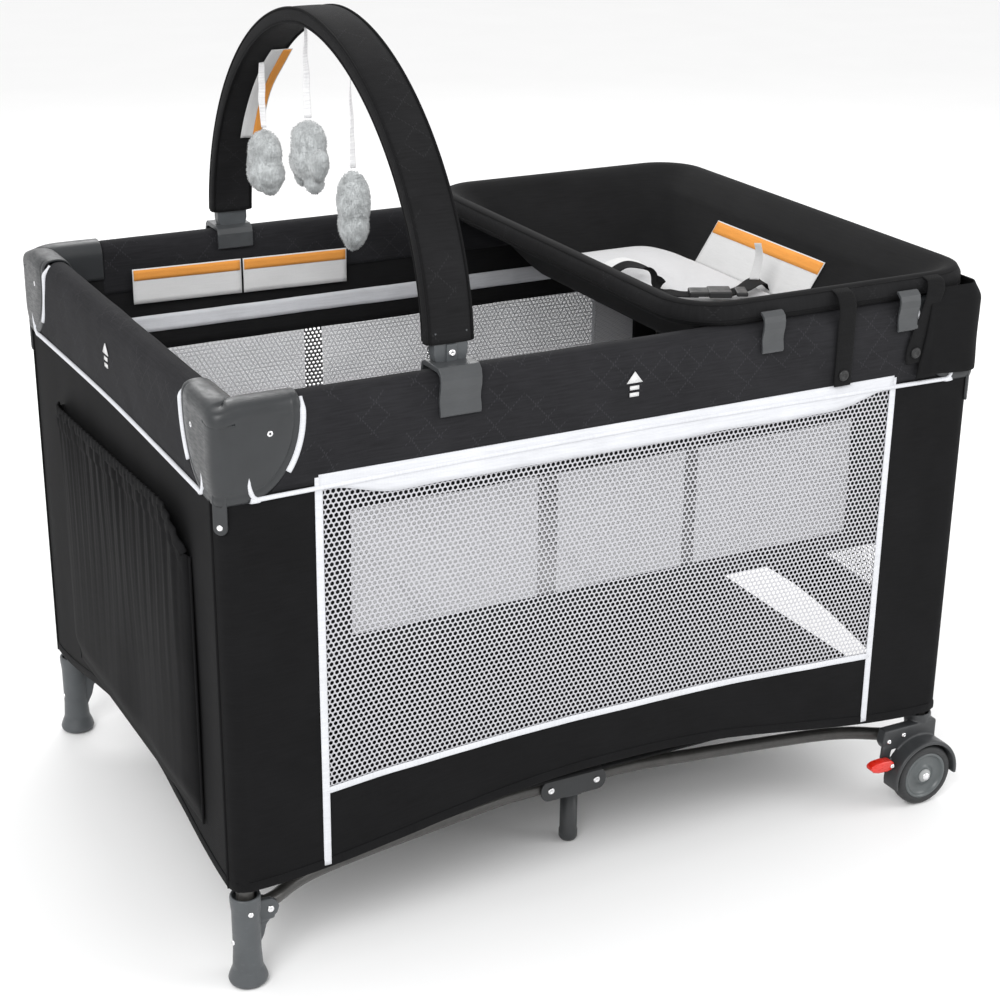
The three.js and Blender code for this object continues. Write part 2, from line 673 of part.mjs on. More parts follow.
function rimTube() {
  const bend = (cx, cy, startAngle) => {
    const arc = new THREE.CatmullRomCurve3(
      [0, 1, 2, 3, 4].map((i) => {
        const angle = startAngle + (i * Math.PI) / 8;
        return new THREE.Vector3(
          cx + RIM_BEND * Math.cos(angle),
          cy + RIM_BEND * Math.sin(angle),
          CHANGER_Z,
        );
      }),
    );
    const section = new THREE.Shape();
    section.absarc(0, 0, RIM_RADIUS, 0, 2 * Math.PI, false);
    return solidOf(
      new THREE.ExtrudeGeometry(section, { steps: 4, extrudePath: arc, curveSegments: 5 }),
    );
  };
  const x0 = CHANGER_LEFT + RIM_BEND;
  const x1 = CHANGER_RIGHT - RIM_BEND;
  const y1 = CHANGER_Y - RIM_BEND;
  const lap = 1.5; // straight tubes run this far into the bends
  return join(
    rod([x0 - lap, -CHANGER_Y, CHANGER_Z], [x1 + lap, -CHANGER_Y, CHANGER_Z], RIM_RADIUS),
    rod([x0 - lap, CHANGER_Y, CHANGER_Z], [x1 + lap, CHANGER_Y, CHANGER_Z], RIM_RADIUS),
    rod([CHANGER_LEFT, -y1 - lap, CHANGER_Z], [CHANGER_LEFT, y1 + lap, CHANGER_Z], RIM_RADIUS),
    rod([CHANGER_RIGHT, -y1 - lap, CHANGER_Z], [CHANGER_RIGHT, y1 + lap, CHANGER_Z], RIM_RADIUS),
    bend(x1, y1, 0),
    bend(x0, y1, Math.PI / 2),
    bend(x0, -y1, Math.PI),
    bend(x1, -y1, (3 * Math.PI) / 2),
  );
}

const TRAY_BOTTOM = [200, -255, 420, 255];
const TRAY_TOP = [112, -326, 474, 326];
const TRAY_BOTTOM_Z = 650;
const TRAY_TOP_Z = 741.5;

const TRAY_CLOTH = 3;
const BAND_X = [CHANGER_LEFT + 11, CHANGER_RIGHT - 11];
const BAND_Y = CHANGER_Y - 11;
const CORNER_CUT = 42;

function cornerCuts(size) {
  return [[0, -1], [0, 1], [1, -1], [1, 1]].map(([i, side]) =>
    rod([BAND_X[i], side * BAND_Y, 730], [BAND_X[i], side * BAND_Y, 750], size, 4),
  );
}

function edgeBand() {
  const low = TRAY_TOP_Z - TRAY_CLOTH;
  const band = box([BAND_X[0], -BAND_Y, low], [BAND_X[1], BAND_Y, TRAY_TOP_Z]);
  const opening = box(
    [TRAY_TOP[0], TRAY_TOP[1], low - 1],
    [TRAY_TOP[2], TRAY_TOP[3], TRAY_TOP_Z + 1],
  );
  return cut(band, cut(opening, ...cornerCuts(CORNER_CUT + 8)), ...cornerCuts(CORNER_CUT));
}

function trayCloth() {
  const inset = (rectangle, by) => rectangle.map((edge, i) => edge + (i < 2 ? by : -by));
  const outer = taperedBlock(
    inset(TRAY_BOTTOM, 0.5),
    TRAY_BOTTOM_Z,
    inset(TRAY_TOP, 0.5),
    TRAY_TOP_Z,
  );
  const inner = taperedBlock(
    inset(TRAY_BOTTOM, TRAY_CLOTH),
    TRAY_BOTTOM_Z + TRAY_CLOTH,
    inset(TRAY_TOP, TRAY_CLOTH),
    TRAY_TOP_Z + 0.01,
  );
  return cut(outer, inner, ...cornerCuts(CORNER_CUT + 9));
}

function changerClip() {
  const outline = outlineOf([
    [-CLAMP_FACE - 4, 704], [-CLAMP_FACE, 704], [-CLAMP_FACE, 746],
    [-CHANGER_Y - RIM_RADIUS - 1, 746], [-CHANGER_Y - RIM_RADIUS - 1, 752], [-CLAMP_FACE - 4, 752],
  ]);
  return slab(outline, 'x', -16, 16);
}

addPiece(playYard, 'changer_rim', rimTube(), fabric());
addPiece(playYard, 'changer_edge_band', edgeBand(), fabric());
addPiece(playYard, 'changer_tray', trayCloth(), fabric());
addPiece(
  playYard,
  'changer_pad',
  box([212, -240, TRAY_BOTTOM_Z + 4], [408, 240, TRAY_BOTTOM_Z + 28]),
  fabricLight(),
);
for (const [name, x] of [['inner', 195], ['outer', 396]]) {
  const holder = new THREE.Group();
  holder.position.x = x;
  addPiece(holder, `changer_clip_${name}`, changerClip(), greyPlastic());
  playYard.add(holder);
}

export default playYard;
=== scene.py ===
import math
import random

import bmesh
import bpy
from mathutils import Matrix, Vector, noise


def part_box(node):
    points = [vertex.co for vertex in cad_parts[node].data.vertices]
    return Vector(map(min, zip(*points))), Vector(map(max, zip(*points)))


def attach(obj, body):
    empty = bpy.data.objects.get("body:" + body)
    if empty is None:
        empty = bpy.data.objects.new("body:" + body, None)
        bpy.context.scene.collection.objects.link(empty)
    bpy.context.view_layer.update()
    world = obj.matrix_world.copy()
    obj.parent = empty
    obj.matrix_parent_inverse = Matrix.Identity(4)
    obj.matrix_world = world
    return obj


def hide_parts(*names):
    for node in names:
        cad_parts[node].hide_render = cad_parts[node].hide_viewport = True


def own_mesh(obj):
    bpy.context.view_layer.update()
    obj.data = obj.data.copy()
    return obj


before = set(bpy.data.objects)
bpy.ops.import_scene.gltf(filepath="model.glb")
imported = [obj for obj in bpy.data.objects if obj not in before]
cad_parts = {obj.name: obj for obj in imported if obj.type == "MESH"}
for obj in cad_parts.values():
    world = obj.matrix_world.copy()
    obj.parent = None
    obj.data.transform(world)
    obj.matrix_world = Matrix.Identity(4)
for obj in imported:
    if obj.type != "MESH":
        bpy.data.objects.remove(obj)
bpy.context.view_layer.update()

# A travel play yard. Metres, +X towards the wheels, +Y to the back, +Z up.

# ------------------------------------------------------------- places from the frame


def middle(node):
    low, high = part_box(node)
    return (low + high) / 2


LEG_X = middle("leg_front_right").x
LEG_Y = middle("leg_back_right").y
LEG_LOW, LEG_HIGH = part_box("leg_front_right")
LEG_RADIUS = (LEG_HIGH.x - LEG_LOW.x) / 2
SKIN = -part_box("wall_front")[0].y - LEG_Y  # leg plane to the outside of the fabric
BASE_Z = middle("base_arm_front_left").z
BAR_X = middle("toy_bar").x

FOLDED_LONG = 0.285 / (2 * LEG_X)  # leg spacing left when folded, as a share
FOLDED_SHORT = 0.37 / (2 * LEG_Y)

# ----------------------------------------------------------------------- small tools


def ease(t):
    t = min(1.0, max(0.0, t))
    return t * t * (3 - 2 * t)


def lerp(a, b, t):
    return a + (b - a) * t


def ripple(x, y, z=0.0):
    """Smooth noise between about -1 and 1, the same on every run."""
    return noise.noise(Vector((x, y, z)))


def smooth_path(points, count):
    """count + 1 points along a Catmull-Rom curve through the given points."""
    points = [Vector(p) for p in points]
    ends = [2 * points[0] - points[1], *points, 2 * points[-1] - points[-2]]
    spans = len(points) - 1
    path = []
    for i in range(count + 1):
        at = min(i * spans / count, spans - 1e-9)
        k = int(at)
        t = at - k
        a, b, c, d = ends[k : k + 4]
        path.append(0.5 * ((2 * b) + (c - a) * t + (2 * a - 5 * b + 4 * c - d) * t * t
                           + (3 * b - a - 3 * c + d) * t ** 3))
    return path


def piece_from(name, points, faces, material, corners=None):
    mesh = bpy.data.meshes.new(name)
    mesh.from_pydata([tuple(p) for p in points], [], faces)
    mesh.materials.append(material)
    mesh.polygons.foreach_set("use_smooth", [True] * len(faces))
    if corners:
        layer = mesh.uv_layers.new(name="metres")
        layer.data.foreach_set("uv", [x for face in corners for uv in face for x in uv])
    mesh.update()
    made = bpy.data.objects.new(name, mesh)
    bpy.context.scene.collection.objects.link(made)
    return made


def lengths(points, closed):
    total = [0.0]
    for a, b in zip(points, points[1:] + (points[:1] if closed else [])):
        total.append(total[-1] + (b - a).length)
    return total


def evenly(points, shares, closed=False):
    """The places at those shares of the way along a line of points."""
    run = lengths(points, closed)
    spaced, k = [], 0
    for share in shares:
        want = run[-1] * share
        while k < len(run) - 2 and run[k + 1] < want:
            k += 1
        part = (want - run[k]) / max(1e-9, run[k + 1] - run[k])
        spaced.append(points[k].lerp(points[(k + 1) % len(points)], min(1.0, part)))
    return spaced


def round_corners(x0, x1, y0, y1, radius, steps):
    """A rectangle's outline with rounded corners, each an arc of steps + 1 points."""
    outline = []
    for cx, cy, start in ((x1 - radius, y0 + radius, -90), (x1 - radius, y1 - radius, 0),
                          (x0 + radius, y1 - radius, 90), (x0 + radius, y0 + radius, 180)):
        for k in range(steps + 1):
            a = math.radians(start + 90 * k / steps)
            outline.append((cx + radius * math.cos(a), cy + radius * math.sin(a)))
    return outline


def skin(name, rows, material, wrap_u=False, wrap_v=False, caps=False, thickness=0.0):
    """A surface through rows of points, with its UVs in metres."""
    nv, nu = len(rows), len(rows[0])
    u_at = lengths(rows[nv // 2], wrap_u)
    v_at = lengths([row[nu // 2] for row in rows], wrap_v)
    points = [p for row in rows for p in row]
    faces, corners = [], []
    for j in range(nv if wrap_v else nv - 1):
        for i in range(nu if wrap_u else nu - 1):
            i2, j2 = (i + 1) % nu, (j + 1) % nv
            faces.append((j * nu + i, j * nu + i2, j2 * nu + i2, j2 * nu + i))
            u0, u1, v0, v1 = u_at[i], u_at[i + 1], v_at[j], v_at[j + 1]
            corners.append(((u0, v0), (u1, v0), (u1, v1), (u0, v1)))
    if caps:
        for ring, flip in ((0, True), (nv - 1, False)):
            loop = [ring * nu + i for i in range(nu)]
            faces.append(tuple(reversed(loop)) if flip else tuple(loop))
            corners.append(tuple((points[k].x, points[k].y) for k in faces[-1]))
    made = piece_from(name, points, faces, material, corners)
    if thickness:
        shell = made.modifiers.new("thickness", "SOLIDIFY")
        shell.thickness = thickness
        shell.offset = 0
    return made


def surface(name, point, nu, nv, material, **options):
    """A surface through point(u, v), with u and v from 0 to 1."""
    iu = nu if options.get("wrap_u") else nu + 1
    iv = nv if options.get("wrap_v") else nv + 1
    rows = [[Vector(point(i / nu, j / nv)) for i in range(iu)] for j in range(iv)]
    return skin(name, rows, material, **options)


def oval(width, depth, sides=16, power=2.0):
    """A superellipse outline: power 2 is an ellipse, and more is squarer."""
    outline = []
    for i in range(sides):
        a = 2 * math.pi * i / sides
        c, s = math.cos(a), math.sin(a)
        outline.append((width / 2 * math.copysign(abs(c) ** (2 / power), c),
                        depth / 2 * math.copysign(abs(s) ** (2 / power), s)))
    return outline


def sweep(name, path, outline, across, material, closed=False, size=None):
    """The outline carried along the path. Its first number goes along `across`."""
    rows = []
    count = len(path)
    for k, p in enumerate(path):
        if closed:
            ahead, behind = path[(k + 1) % count], path[k - 1]
        else:
            ahead, behind = path[min(k + 1, count - 1)], path[max(k - 1, 0)]
        along = (ahead - behind).normalized()
        wide = Vector(across(k / (count - 1)) if callable(across) else across)
        wide = (wide - along * wide.dot(along)).normalized()
        deep = along.cross(wide)
        grow = size(k / (count - 1)) if size else 1.0
        rows.append([p + wide * (a * grow) + deep * (b * grow) for a, b in outline])
    return skin(name, rows, material, wrap_u=True, wrap_v=closed, caps=not closed)


def tube(name, path, radius, material, sides=24, closed=False, size=None):
    across = (0.03, 0.02, 1) if abs((path[-1] - path[0]).normalized().z) < 0.8 else (1, 0.03, 0.02)
    outline = oval(2 * radius, 2 * radius, sides)
    return sweep(name, path, outline, across, material, closed, size)


def lathe(name, profile, centre, axis, material, sides=48, ring=False):
    """A (radius, height) profile turned about an axis through centre, or a closed ring."""
    turn = Vector((0, 0, 1)).rotation_difference(Vector(axis)).to_matrix()
    rows = []
    for radius, height in profile:
        turned = []
        for i in range(sides):
            a = 2 * math.pi * i / sides
            flat = Vector((radius * math.cos(a), radius * math.sin(a), height))
            turned.append(Vector(centre) + turn @ flat)
        rows.append(turned)
    made = skin(name, rows, material, wrap_u=True, wrap_v=ring, caps=not ring)
    tidy_normals(made)
    return made


def slab(name, outline, place, low, high, material, bevel):
    """A slab with rounded edges: place(a, b, c) puts the outline's a and b at depth c."""
    count = len(outline)
    points = [place(a, b, depth) for depth in (low, high) for a, b in outline]
    faces = [tuple(range(count)), tuple(reversed(range(count, 2 * count)))]
    faces += [(i, i + count, (i + 1) % count + count, (i + 1) % count) for i in range(count)]
    made = piece_from(name, points, faces, material)
    tidy_normals(made)
    for polygon in made.data.polygons:
        polygon.use_smooth = False
    return round_edges(made, bevel)


def prism(name, outline, axis, low, high, material, bevel=0.0008):
    """A slab whose outline is (y, z), (x, z) or (x, y)."""
    def place(a, b, c):
        return {"x": (c, a, b), "y": (a, c, b), "z": (a, b, c)}[axis]
    return slab(name, outline, place, low, high, material, bevel)


def tidy_normals(made):
    bm = bmesh.new()
    bm.from_mesh(made.data)
    bmesh.ops.recalc_face_normals(bm, faces=bm.faces)
    bm.to_mesh(made.data)
    bm.free()


def round_edges(made, width, segments=2, angle=35):
    edge = made.modifiers.new("edges", "BEVEL")
    edge.width = width
    edge.segments = segments
    edge.limit_method = "ANGLE"
    edge.angle_limit = math.radians(angle)
    edge.harden_normals = False
    return made


def block(name, low, high, material, bevel=0.001):
    (x0, y0, z0), (x1, y1, z1) = low, high
    return prism(name, [(x0, y0), (x1, y0), (x1, y1), (x0, y1)], "z", z0, z1, material, bevel)


def applied(made):
    """The piece with its modifiers made part of its mesh."""
    depsgraph = bpy.context.evaluated_depsgraph_get()
    mesh = bpy.data.meshes.new_from_object(made.evaluated_get(depsgraph))
    made.modifiers.clear()
    made.data = mesh
    return made


def joined(name, parts):
    """Several pieces of one material as one piece."""
    bm = bmesh.new()
    material = parts[0].data.materials[0]
    for part in parts:
        applied(part)
        bm.from_mesh(part.data)
        bpy.data.objects.remove(part)
    mesh = bpy.data.meshes.new(name)
    bm.to_mesh(mesh)
    bm.free()
    mesh.materials.clear()
    mesh.materials.append(material)
    made = bpy.data.objects.new(name, mesh)
    bpy.context.scene.collection.objects.link(made)
    return made


def fused(name, parts, voxel, rounds=4):
    """Several overlapping pieces melted into one moulded form."""
    made = joined(name, parts)
    melt = made.modifiers.new("melt", "REMESH")
    melt.mode = "VOXEL"
    melt.voxel_size = voxel
    melt.use_smooth_shade = True
    soften = made.modifiers.new("soften", "SMOOTH")
    soften.factor = 0.5
    soften.iterations = rounds
    material = made.data.materials[0]
    applied(made)
    made.data.materials.clear()
    made.data.materials.append(material)
    return made


def ball(name, centre, radii, material, turn=0.0):
    """An ellipsoid, turned about X, to be fused with others."""
    bm = bmesh.new()
    bmesh.ops.create_icosphere(bm, subdivisions=4, radius=1.0)
    place = Matrix.Translation(centre) @ Matrix.Rotation(turn, 4, "X")
    place = place @ Matrix.Diagonal((*radii, 1.0))
    bmesh.ops.transform(bm, matrix=place, verts=bm.verts)
    mesh = bpy.data.meshes.new(name)
    bm.to_mesh(mesh)
    bm.free()
    mesh.materials.append(material)
    mesh.polygons.foreach_set("use_smooth", [True] * len(mesh.polygons))
    made = bpy.data.objects.new(name, mesh)
    bpy.context.scene.collection.objects.link(made)
    return made


def settle(made, body, nodes=(), squash=None):
    """Puts a piece on its body and hides the CAD parts it replaces; if it crumples, it gets a mesh of its
    own.
    """
    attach(made, body)
    if nodes:
        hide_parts(*nodes)
    if squash:
        axis, anchor, keep = squash
        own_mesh(made)
        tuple(axis)
        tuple(anchor)
    return made


# ------------------------------------------------------------------------- materials


class Shading:
    """A material and short calls for the nodes it is made of."""

    def __init__(self, name, **sockets):
        self.material = bpy.data.materials.new(name)
        self.material.use_nodes = True
        tree = self.material.node_tree
        self.nodes, self.links = tree.nodes, tree.links
        self.shader = self.nodes["Principled BSDF"]
        for socket, value in sockets.items():
            self.shader.inputs[socket.replace("_", " ")].default_value = value

    def put(self, kind, *sources, output=0, **settings):
        node = self.nodes.new(kind)
        for key, value in settings.items():
            setattr(node, key, value)
        for socket, source in zip(node.inputs, sources):
            self.feed(socket, source)
        return node.outputs[output]

    def feed(self, socket, source):
        if isinstance(source, bpy.types.NodeSocket):
            self.links.new(source, socket)
        else:
            socket.default_value = source

    def metres(self):
        return self.put("ShaderNodeUVMap", uv_map="metres")

    def place(self):
        return self.put("ShaderNodeTexCoord", output="Object")

    def math(self, operation, *sources):
        return self.put("ShaderNodeMath", *sources, operation=operation)

    def vector(self, operation, *sources, output="Vector"):
        return self.put("ShaderNodeVectorMath", *sources, operation=operation, output=output)

    def split(self, vector):
        node = self.nodes.new("ShaderNodeSeparateXYZ")
        self.links.new(vector, node.inputs[0])
        return node.outputs[0], node.outputs[1], node.outputs[2]

    def noise(self, at, scale, detail=2.0, rough=0.5):
        node = self.nodes.new("ShaderNodeTexNoise")
        self.links.new(at, node.inputs["Vector"])
        node.inputs["Scale"].default_value = scale
        node.inputs["Detail"].default_value = detail
        node.inputs["Roughness"].default_value = rough
        return node.outputs[0]

    def spread(self, value, low, high, to_low=0.0, to_high=1.0):
        return self.put("ShaderNodeMapRange", value, low, high, to_low, to_high)

    def mixed(self, share, a, b):
        node = self.nodes.new("ShaderNodeMix")
        node.data_type = "RGBA"
        self.feed(node.inputs[0], share)
        self.feed(node.inputs[6], a)
        self.feed(node.inputs[7], b)
        return node.outputs[2]

    def use(self, **sources):
        for socket, source in sources.items():
            self.links.new(source, self.shader.inputs[socket.replace("_", " ")])

    def bump(self, height, strength, distance):
        node = self.nodes.new("ShaderNodeBump")
        node.inputs["Strength"].default_value = strength
        node.inputs["Distance"].default_value = distance
        self.links.new(height, node.inputs["Height"])
        self.links.new(node.outputs[0], self.shader.inputs["Normal"])


def shade(colour, by):
    return (*(min(1.0, c * by) for c in colour), 1.0)


def weave_height(made, uv, pitch):
    """A plain weave: threads going over and under each other."""
    u, v, _ = made.split(uv)
    wave_u = made.math("SINE", made.math("MULTIPLY", u, math.pi / pitch))
    wave_v = made.math("SINE", made.math("MULTIPLY", v, math.pi / pitch))
    over = made.math("GREATER_THAN", made.math("MULTIPLY", wave_u, wave_v), 0.0)
    up, down = made.math("ABSOLUTE", wave_u), made.math("ABSOLUTE", wave_v)
    picked = made.nodes.new("ShaderNodeMix")
    made.feed(picked.inputs[0], over)
    made.feed(picked.inputs[2], down)
    made.feed(picked.inputs[3], up)
    return picked.outputs[0]


def stitched_chevrons(made, uv, pitch, width):
    """1 on broken diagonal stitch lines that make diamonds and chevrons."""
    u, v, _ = made.split(uv)
    lines = []
    for operation in ("ADD", "SUBTRACT"):
        across = made.math("DIVIDE", made.math(operation, u, v), pitch)
        away = made.math("ABSOLUTE", made.math("SUBTRACT", made.math("FRACT", across), 0.5))
        line = made.spread(away, 0.0, width / pitch, 1.0, 0.0)
        lines.append(line)
    line = made.math("MAXIMUM", *lines)
    along = made.math("SINE", made.math("MULTIPLY", u, 2 * math.pi / 0.0032))
    dashes = made.spread(along, -0.2, 0.2)
    patches = made.spread(made.noise(uv, 21.0, 0.0), 0.52, 0.56)
    return made.math("MULTIPLY", made.math("MULTIPLY", line, dashes), patches)


def cloth(name, colour, pitch=0.0013, depth=0.3, roughness=0.85, sheen=0.008, stitched=None,
          vary=(0.72, 1.3)):
    """Woven polyester, with slubs, creases and, if stitched, an embossed pattern."""
    made = Shading(name, Roughness=roughness, Sheen_Weight=sheen, Sheen_Roughness=0.5,
                   Specular_IOR_Level=0.13)
    uv = made.metres()
    weave = weave_height(made, uv, pitch)
    cloudy = made.noise(uv, 9.0, 5.0, 0.6)
    slub = made.noise(made.vector("MULTIPLY", uv, (30.0, 420.0, 1.0)), 1.0, 2.0)
    share = made.math("ADD", made.math("MULTIPLY", cloudy, 0.6), made.math("MULTIPLY", slub, 0.4))
    tone = made.mixed(made.spread(share, 0.35, 0.65), shade(colour, vary[0]), shade(colour, vary[1]))
    # painted shade: the colour darkens, by up to 0.35 of the way to 0.45 of itself, in the low places between
    # the threads of the weave
    tone = made.mixed(made.spread(weave, 0.0, 0.5, 0.35, 0.0), tone, shade(colour, 0.45))
    creases = made.noise(uv, 26.0, 4.0, 0.55)
    height = made.math("ADD", made.math("MULTIPLY", weave, 0.16), creases)
    if stitched:
        pattern = stitched_chevrons(made, uv, *stitched)
        height = made.math("SUBTRACT", height, made.math("MULTIPLY", pattern, 0.5))
        tone = made.mixed(made.math("MULTIPLY", pattern, 0.35), tone, shade(colour, 4.0))
    made.use(Base_Color=tone)
    made.bump(height, depth, 0.0016)
    return made.material


def netting(name, colour, pitch, thread, roughness=0.6):
    """Hexagonal warp-knit netting: threads with real holes between them."""
    made = Shading(name, Roughness=roughness, Sheen_Weight=0.2)
    cell = made.vector("SCALE", made.vector("ADD", made.metres(), (50.0, 50.0, 0.0)))
    made.nodes[-1].inputs["Scale"].default_value = 1.0 / pitch
    size = (1.0, math.sqrt(3), 1.0)
    half = (0.5, math.sqrt(3) / 2, 0.0)
    near = []
    for shift in ((0.0, 0.0, 0.0), half):
        moved = made.vector("SUBTRACT", cell, shift)
        wrapped = made.vector("SUBTRACT", made.vector("MODULO", moved, size), half)
        near.append(made.vector("MULTIPLY", wrapped, (1.0, 1.0, 0.0)))
    first = made.vector("DOT_PRODUCT", near[0], near[0], output="Value")
    second = made.vector("DOT_PRODUCT", near[1], near[1], output="Value")
    choice = made.math("LESS_THAN", second, first)
    picked = made.nodes.new("ShaderNodeMix")
    picked.data_type = "VECTOR"
    made.feed(picked.inputs[0], choice)
    made.feed(picked.inputs[4], near[0])
    made.feed(picked.inputs[5], near[1])
    inside = made.vector("ABSOLUTE", picked.outputs[1])
    slanted = made.vector("DOT_PRODUCT", inside, (0.5, math.sqrt(3) / 2, 0.0), output="Value")
    edge = made.math("SUBTRACT", 0.5, made.math("MAXIMUM", slanted, made.split(inside)[0]))
    share = thread / pitch / 2
    alpha = made.spread(edge, share * 0.8, share * 1.2, 1.0, 0.0)
    # painted shade: each thread darkens to 0.8 of its colour towards its sides, where its bump height falls
    # away
    tone = made.mixed(made.spread(edge, 0.0, share), shade(colour, 1.0), shade(colour, 0.8))
    made.use(Base_Color=tone, Alpha=alpha)
    made.bump(made.spread(edge, 0.0, share, 1.0, 0.0), 0.4, 0.0008)
    return made.material


def moulded(name, colour, roughness=0.42, grain=0.12, coat=0.0):
    """Injection-moulded plastic with a fine spark-eroded grain and handling marks."""
    made = Shading(name, Roughness=roughness, Coat_Weight=coat, Coat_Roughness=0.25)
    at = made.place()
    patches = made.noise(at, 24.0, 4.0, 0.6)
    scuffs = made.noise(made.vector("MULTIPLY", at, (1.0, 1.0, 6.0)), 90.0, 3.0)
    tone = made.mixed(made.spread(patches, 0.3, 0.7), shade(colour, 0.88), shade(colour, 1.12))
    tone = made.mixed(made.spread(scuffs, 0.62, 0.75, 0.0, 0.35), tone, shade(colour, 1.7))
    rough = made.spread(scuffs, 0.35, 0.7, roughness - 0.07, roughness + 0.1)
    made.use(Base_Color=tone, Roughness=rough)
    made.bump(made.noise(at, 1500.0, 1.0), grain, 0.0004)
    return made.material


def painted(name, colour):
    """Powder-coated steel tube."""
    made = Shading(name, Roughness=0.35, Metallic=0.25, Coat_Weight=0.15)
    at = made.place()
    peel = made.noise(at, 700.0, 2.0)
    wear = made.noise(at, 60.0, 5.0, 0.65)
    tone = made.mixed(made.spread(wear, 0.35, 0.7), shade(colour, 0.85), shade(colour, 1.25))
    made.use(Base_Color=tone, Roughness=made.spread(wear, 0.3, 0.7, 0.28, 0.42))
    made.bump(peel, 0.15, 0.0005)
    return made.material


def bright(name, colour, roughness):
    """Plated metal with faint turning marks."""
    made = Shading(name, Roughness=roughness, Metallic=1.0)
    at = made.place()
    marks = made.noise(made.vector("MULTIPLY", at, (1.0, 1.0, 9.0)), 500.0, 2.0)
    made.use(Base_Color=made.mixed(marks, shade(colour, 0.85), shade(colour, 1.1)))
    made.bump(marks, 0.06, 0.0002)
    return made.material


def pile(name, colour):
    """Short plush pile that catches the light at its edges."""
    made = Shading(name, Roughness=0.95, Sheen_Weight=0.7, Sheen_Roughness=0.35)
    at = made.place()
    strands = made.noise(made.vector("MULTIPLY", at, (1.0, 1.0, 0.3)), 480.0, 3.0, 0.7)
    clumps = made.noise(at, 75.0, 3.0)
    # random clumps, and painted shade and light in the pile: darker where the strands noise, which is also
    # the bump height, is low and lighter where it is high
    share = made.math("MULTIPLY", strands, clumps)
    tone = made.mixed(made.spread(share, 0.12, 0.42), shade(colour, 0.62), shade(colour, 1.3))
    made.use(Base_Color=tone)
    made.bump(strands, 0.7, 0.0015)
    return made.material


BLACK = (0.0055, 0.0055, 0.006)
black_cloth = cloth("black_oxford_cloth", BLACK)
band_cloth = cloth("stitched_band_cloth", (0.017, 0.017, 0.019), stitched=(0.034, 0.0016))
lining_cloth = cloth("black_lining_cloth", (0.009, 0.009, 0.0095), depth=0.2)
padded_cloth = cloth("padded_black_cloth", (0.0105, 0.0105, 0.0112), stitched=(0.038, 0.0016))
pale_cloth = cloth("pale_brushed_cloth", (0.56, 0.56, 0.57), 0.0016, 0.25, sheen=0.2, vary=(0.94, 1.04))
white_tape = cloth("white_binding_tape", (0.66, 0.67, 0.7), pitch=0.0018, depth=0.35, vary=(0.9, 1.08))
satin = cloth("white_satin_ribbon", (0.88, 0.88, 0.9), pitch=0.0008, roughness=0.35, sheen=0.3)
webbing = cloth("black_webbing", (0.008, 0.008, 0.0085), pitch=0.0022, depth=0.6)
label_white = cloth("label_white_cloth", (0.68, 0.68, 0.68), pitch=0.0008, depth=0.15, vary=(0.95, 1.04))
label_orange = cloth("label_orange_cloth", (0.8, 0.33, 0.07), pitch=0.0008, depth=0.15, vary=(0.92, 1.06))
white_net = netting("white_hexagonal_netting", (0.52, 0.52, 0.55), 0.0066, 0.002)
dark_net = netting("black_hexagonal_netting", (0.01, 0.01, 0.011), 0.0066, 0.0022)
fine_net = netting("pale_fine_netting", (0.68, 0.68, 0.7), 0.0024, 0.0014)
grey_plastic = moulded("grey_moulded_plastic", (0.065, 0.071, 0.076))
cap_plastic = moulded("dark_cap_plastic", (0.019, 0.021, 0.023), roughness=0.4)
hook_plastic = moulded("dark_hook_plastic", (0.046, 0.049, 0.052), roughness=0.4)
dark_plastic = moulded("dark_moulded_plastic", (0.028, 0.03, 0.032))
disc_plastic = moulded("wheel_disc_plastic", (0.075, 0.085, 0.087), roughness=0.36, coat=0.2)
tyre_rubber = moulded("black_tyre_rubber", (0.018, 0.019, 0.02), roughness=0.6, grain=0.3)
axle_plastic = moulded("pale_axle_cap_plastic", (0.3, 0.31, 0.31), roughness=0.4)
red_plastic = moulded("red_gloss_plastic", (0.62, 0.018, 0.008), roughness=0.3, coat=0.4)
buckle_plastic = moulded("black_buckle_plastic", (0.009, 0.009, 0.0095), roughness=0.5)
tube_paint = painted("dark_powder_coat", (0.062, 0.06, 0.057))
chrome = bright("chrome_screw_metal", (0.85, 0.85, 0.86), 0.16)
plush = pile("grey_plush_pile", (0.48, 0.5, 0.505))

# ------------------------------------------------------------- camera, floor, lights


def set_camera():
    data = bpy.data.cameras.new("camera")
    data.lens = 71.2
    data.sensor_width = 36.0
    camera = bpy.data.objects.new("camera", data)
    bpy.context.scene.collection.objects.link(camera)
    yaw, pitch, roll = (math.radians(a) for a in (27.97, 21.96, 0.66))
    forward = Vector((math.sin(yaw) * math.cos(pitch), math.cos(yaw) * math.cos(pitch), -math.sin(pitch)))
    level = Vector((math.cos(yaw), -math.sin(yaw), 0.0))
    upward = level.cross(forward)
    right = math.cos(roll) * level + math.sin(roll) * upward
    up = math.cos(roll) * upward - math.sin(roll) * level
    turn = Matrix((right, up, -forward)).transposed().to_4x4()
    camera.matrix_world = Matrix.Translation((-1.179, -2.262, 1.436)) @ turn
    bpy.context.scene.camera = camera


def add_floor():
    half = 12.0
    made = Shading("studio_floor", Roughness=0.9)
    grain = made.noise(made.place(), 3.0, 2.0)
    made.use(Base_Color=made.mixed(grain, (0.9, 0.9, 0.9, 1.0), (0.93, 0.93, 0.93, 1.0)))
    corners = [(-half, -half, -0.0006), (half, -half, -0.0006), (half, half, -0.0006), (-half, half, -0.0006)]
    piece_from("studio_floor", corners, [(0, 1, 2, 3)], made.material)


def add_light(name, place, target, size, power):
    data = bpy.data.lights.new(name, "AREA")
    data.shape = "RECTANGLE"
    data.size, data.size_y = size
    data.energy = power
    light = bpy.data.objects.new(name, data)
    light.location = place
    light.rotation_euler = (Vector(target) - Vector(place)).to_track_quat("-Z", "Y").to_euler()
    bpy.context.scene.collection.objects.link(light)


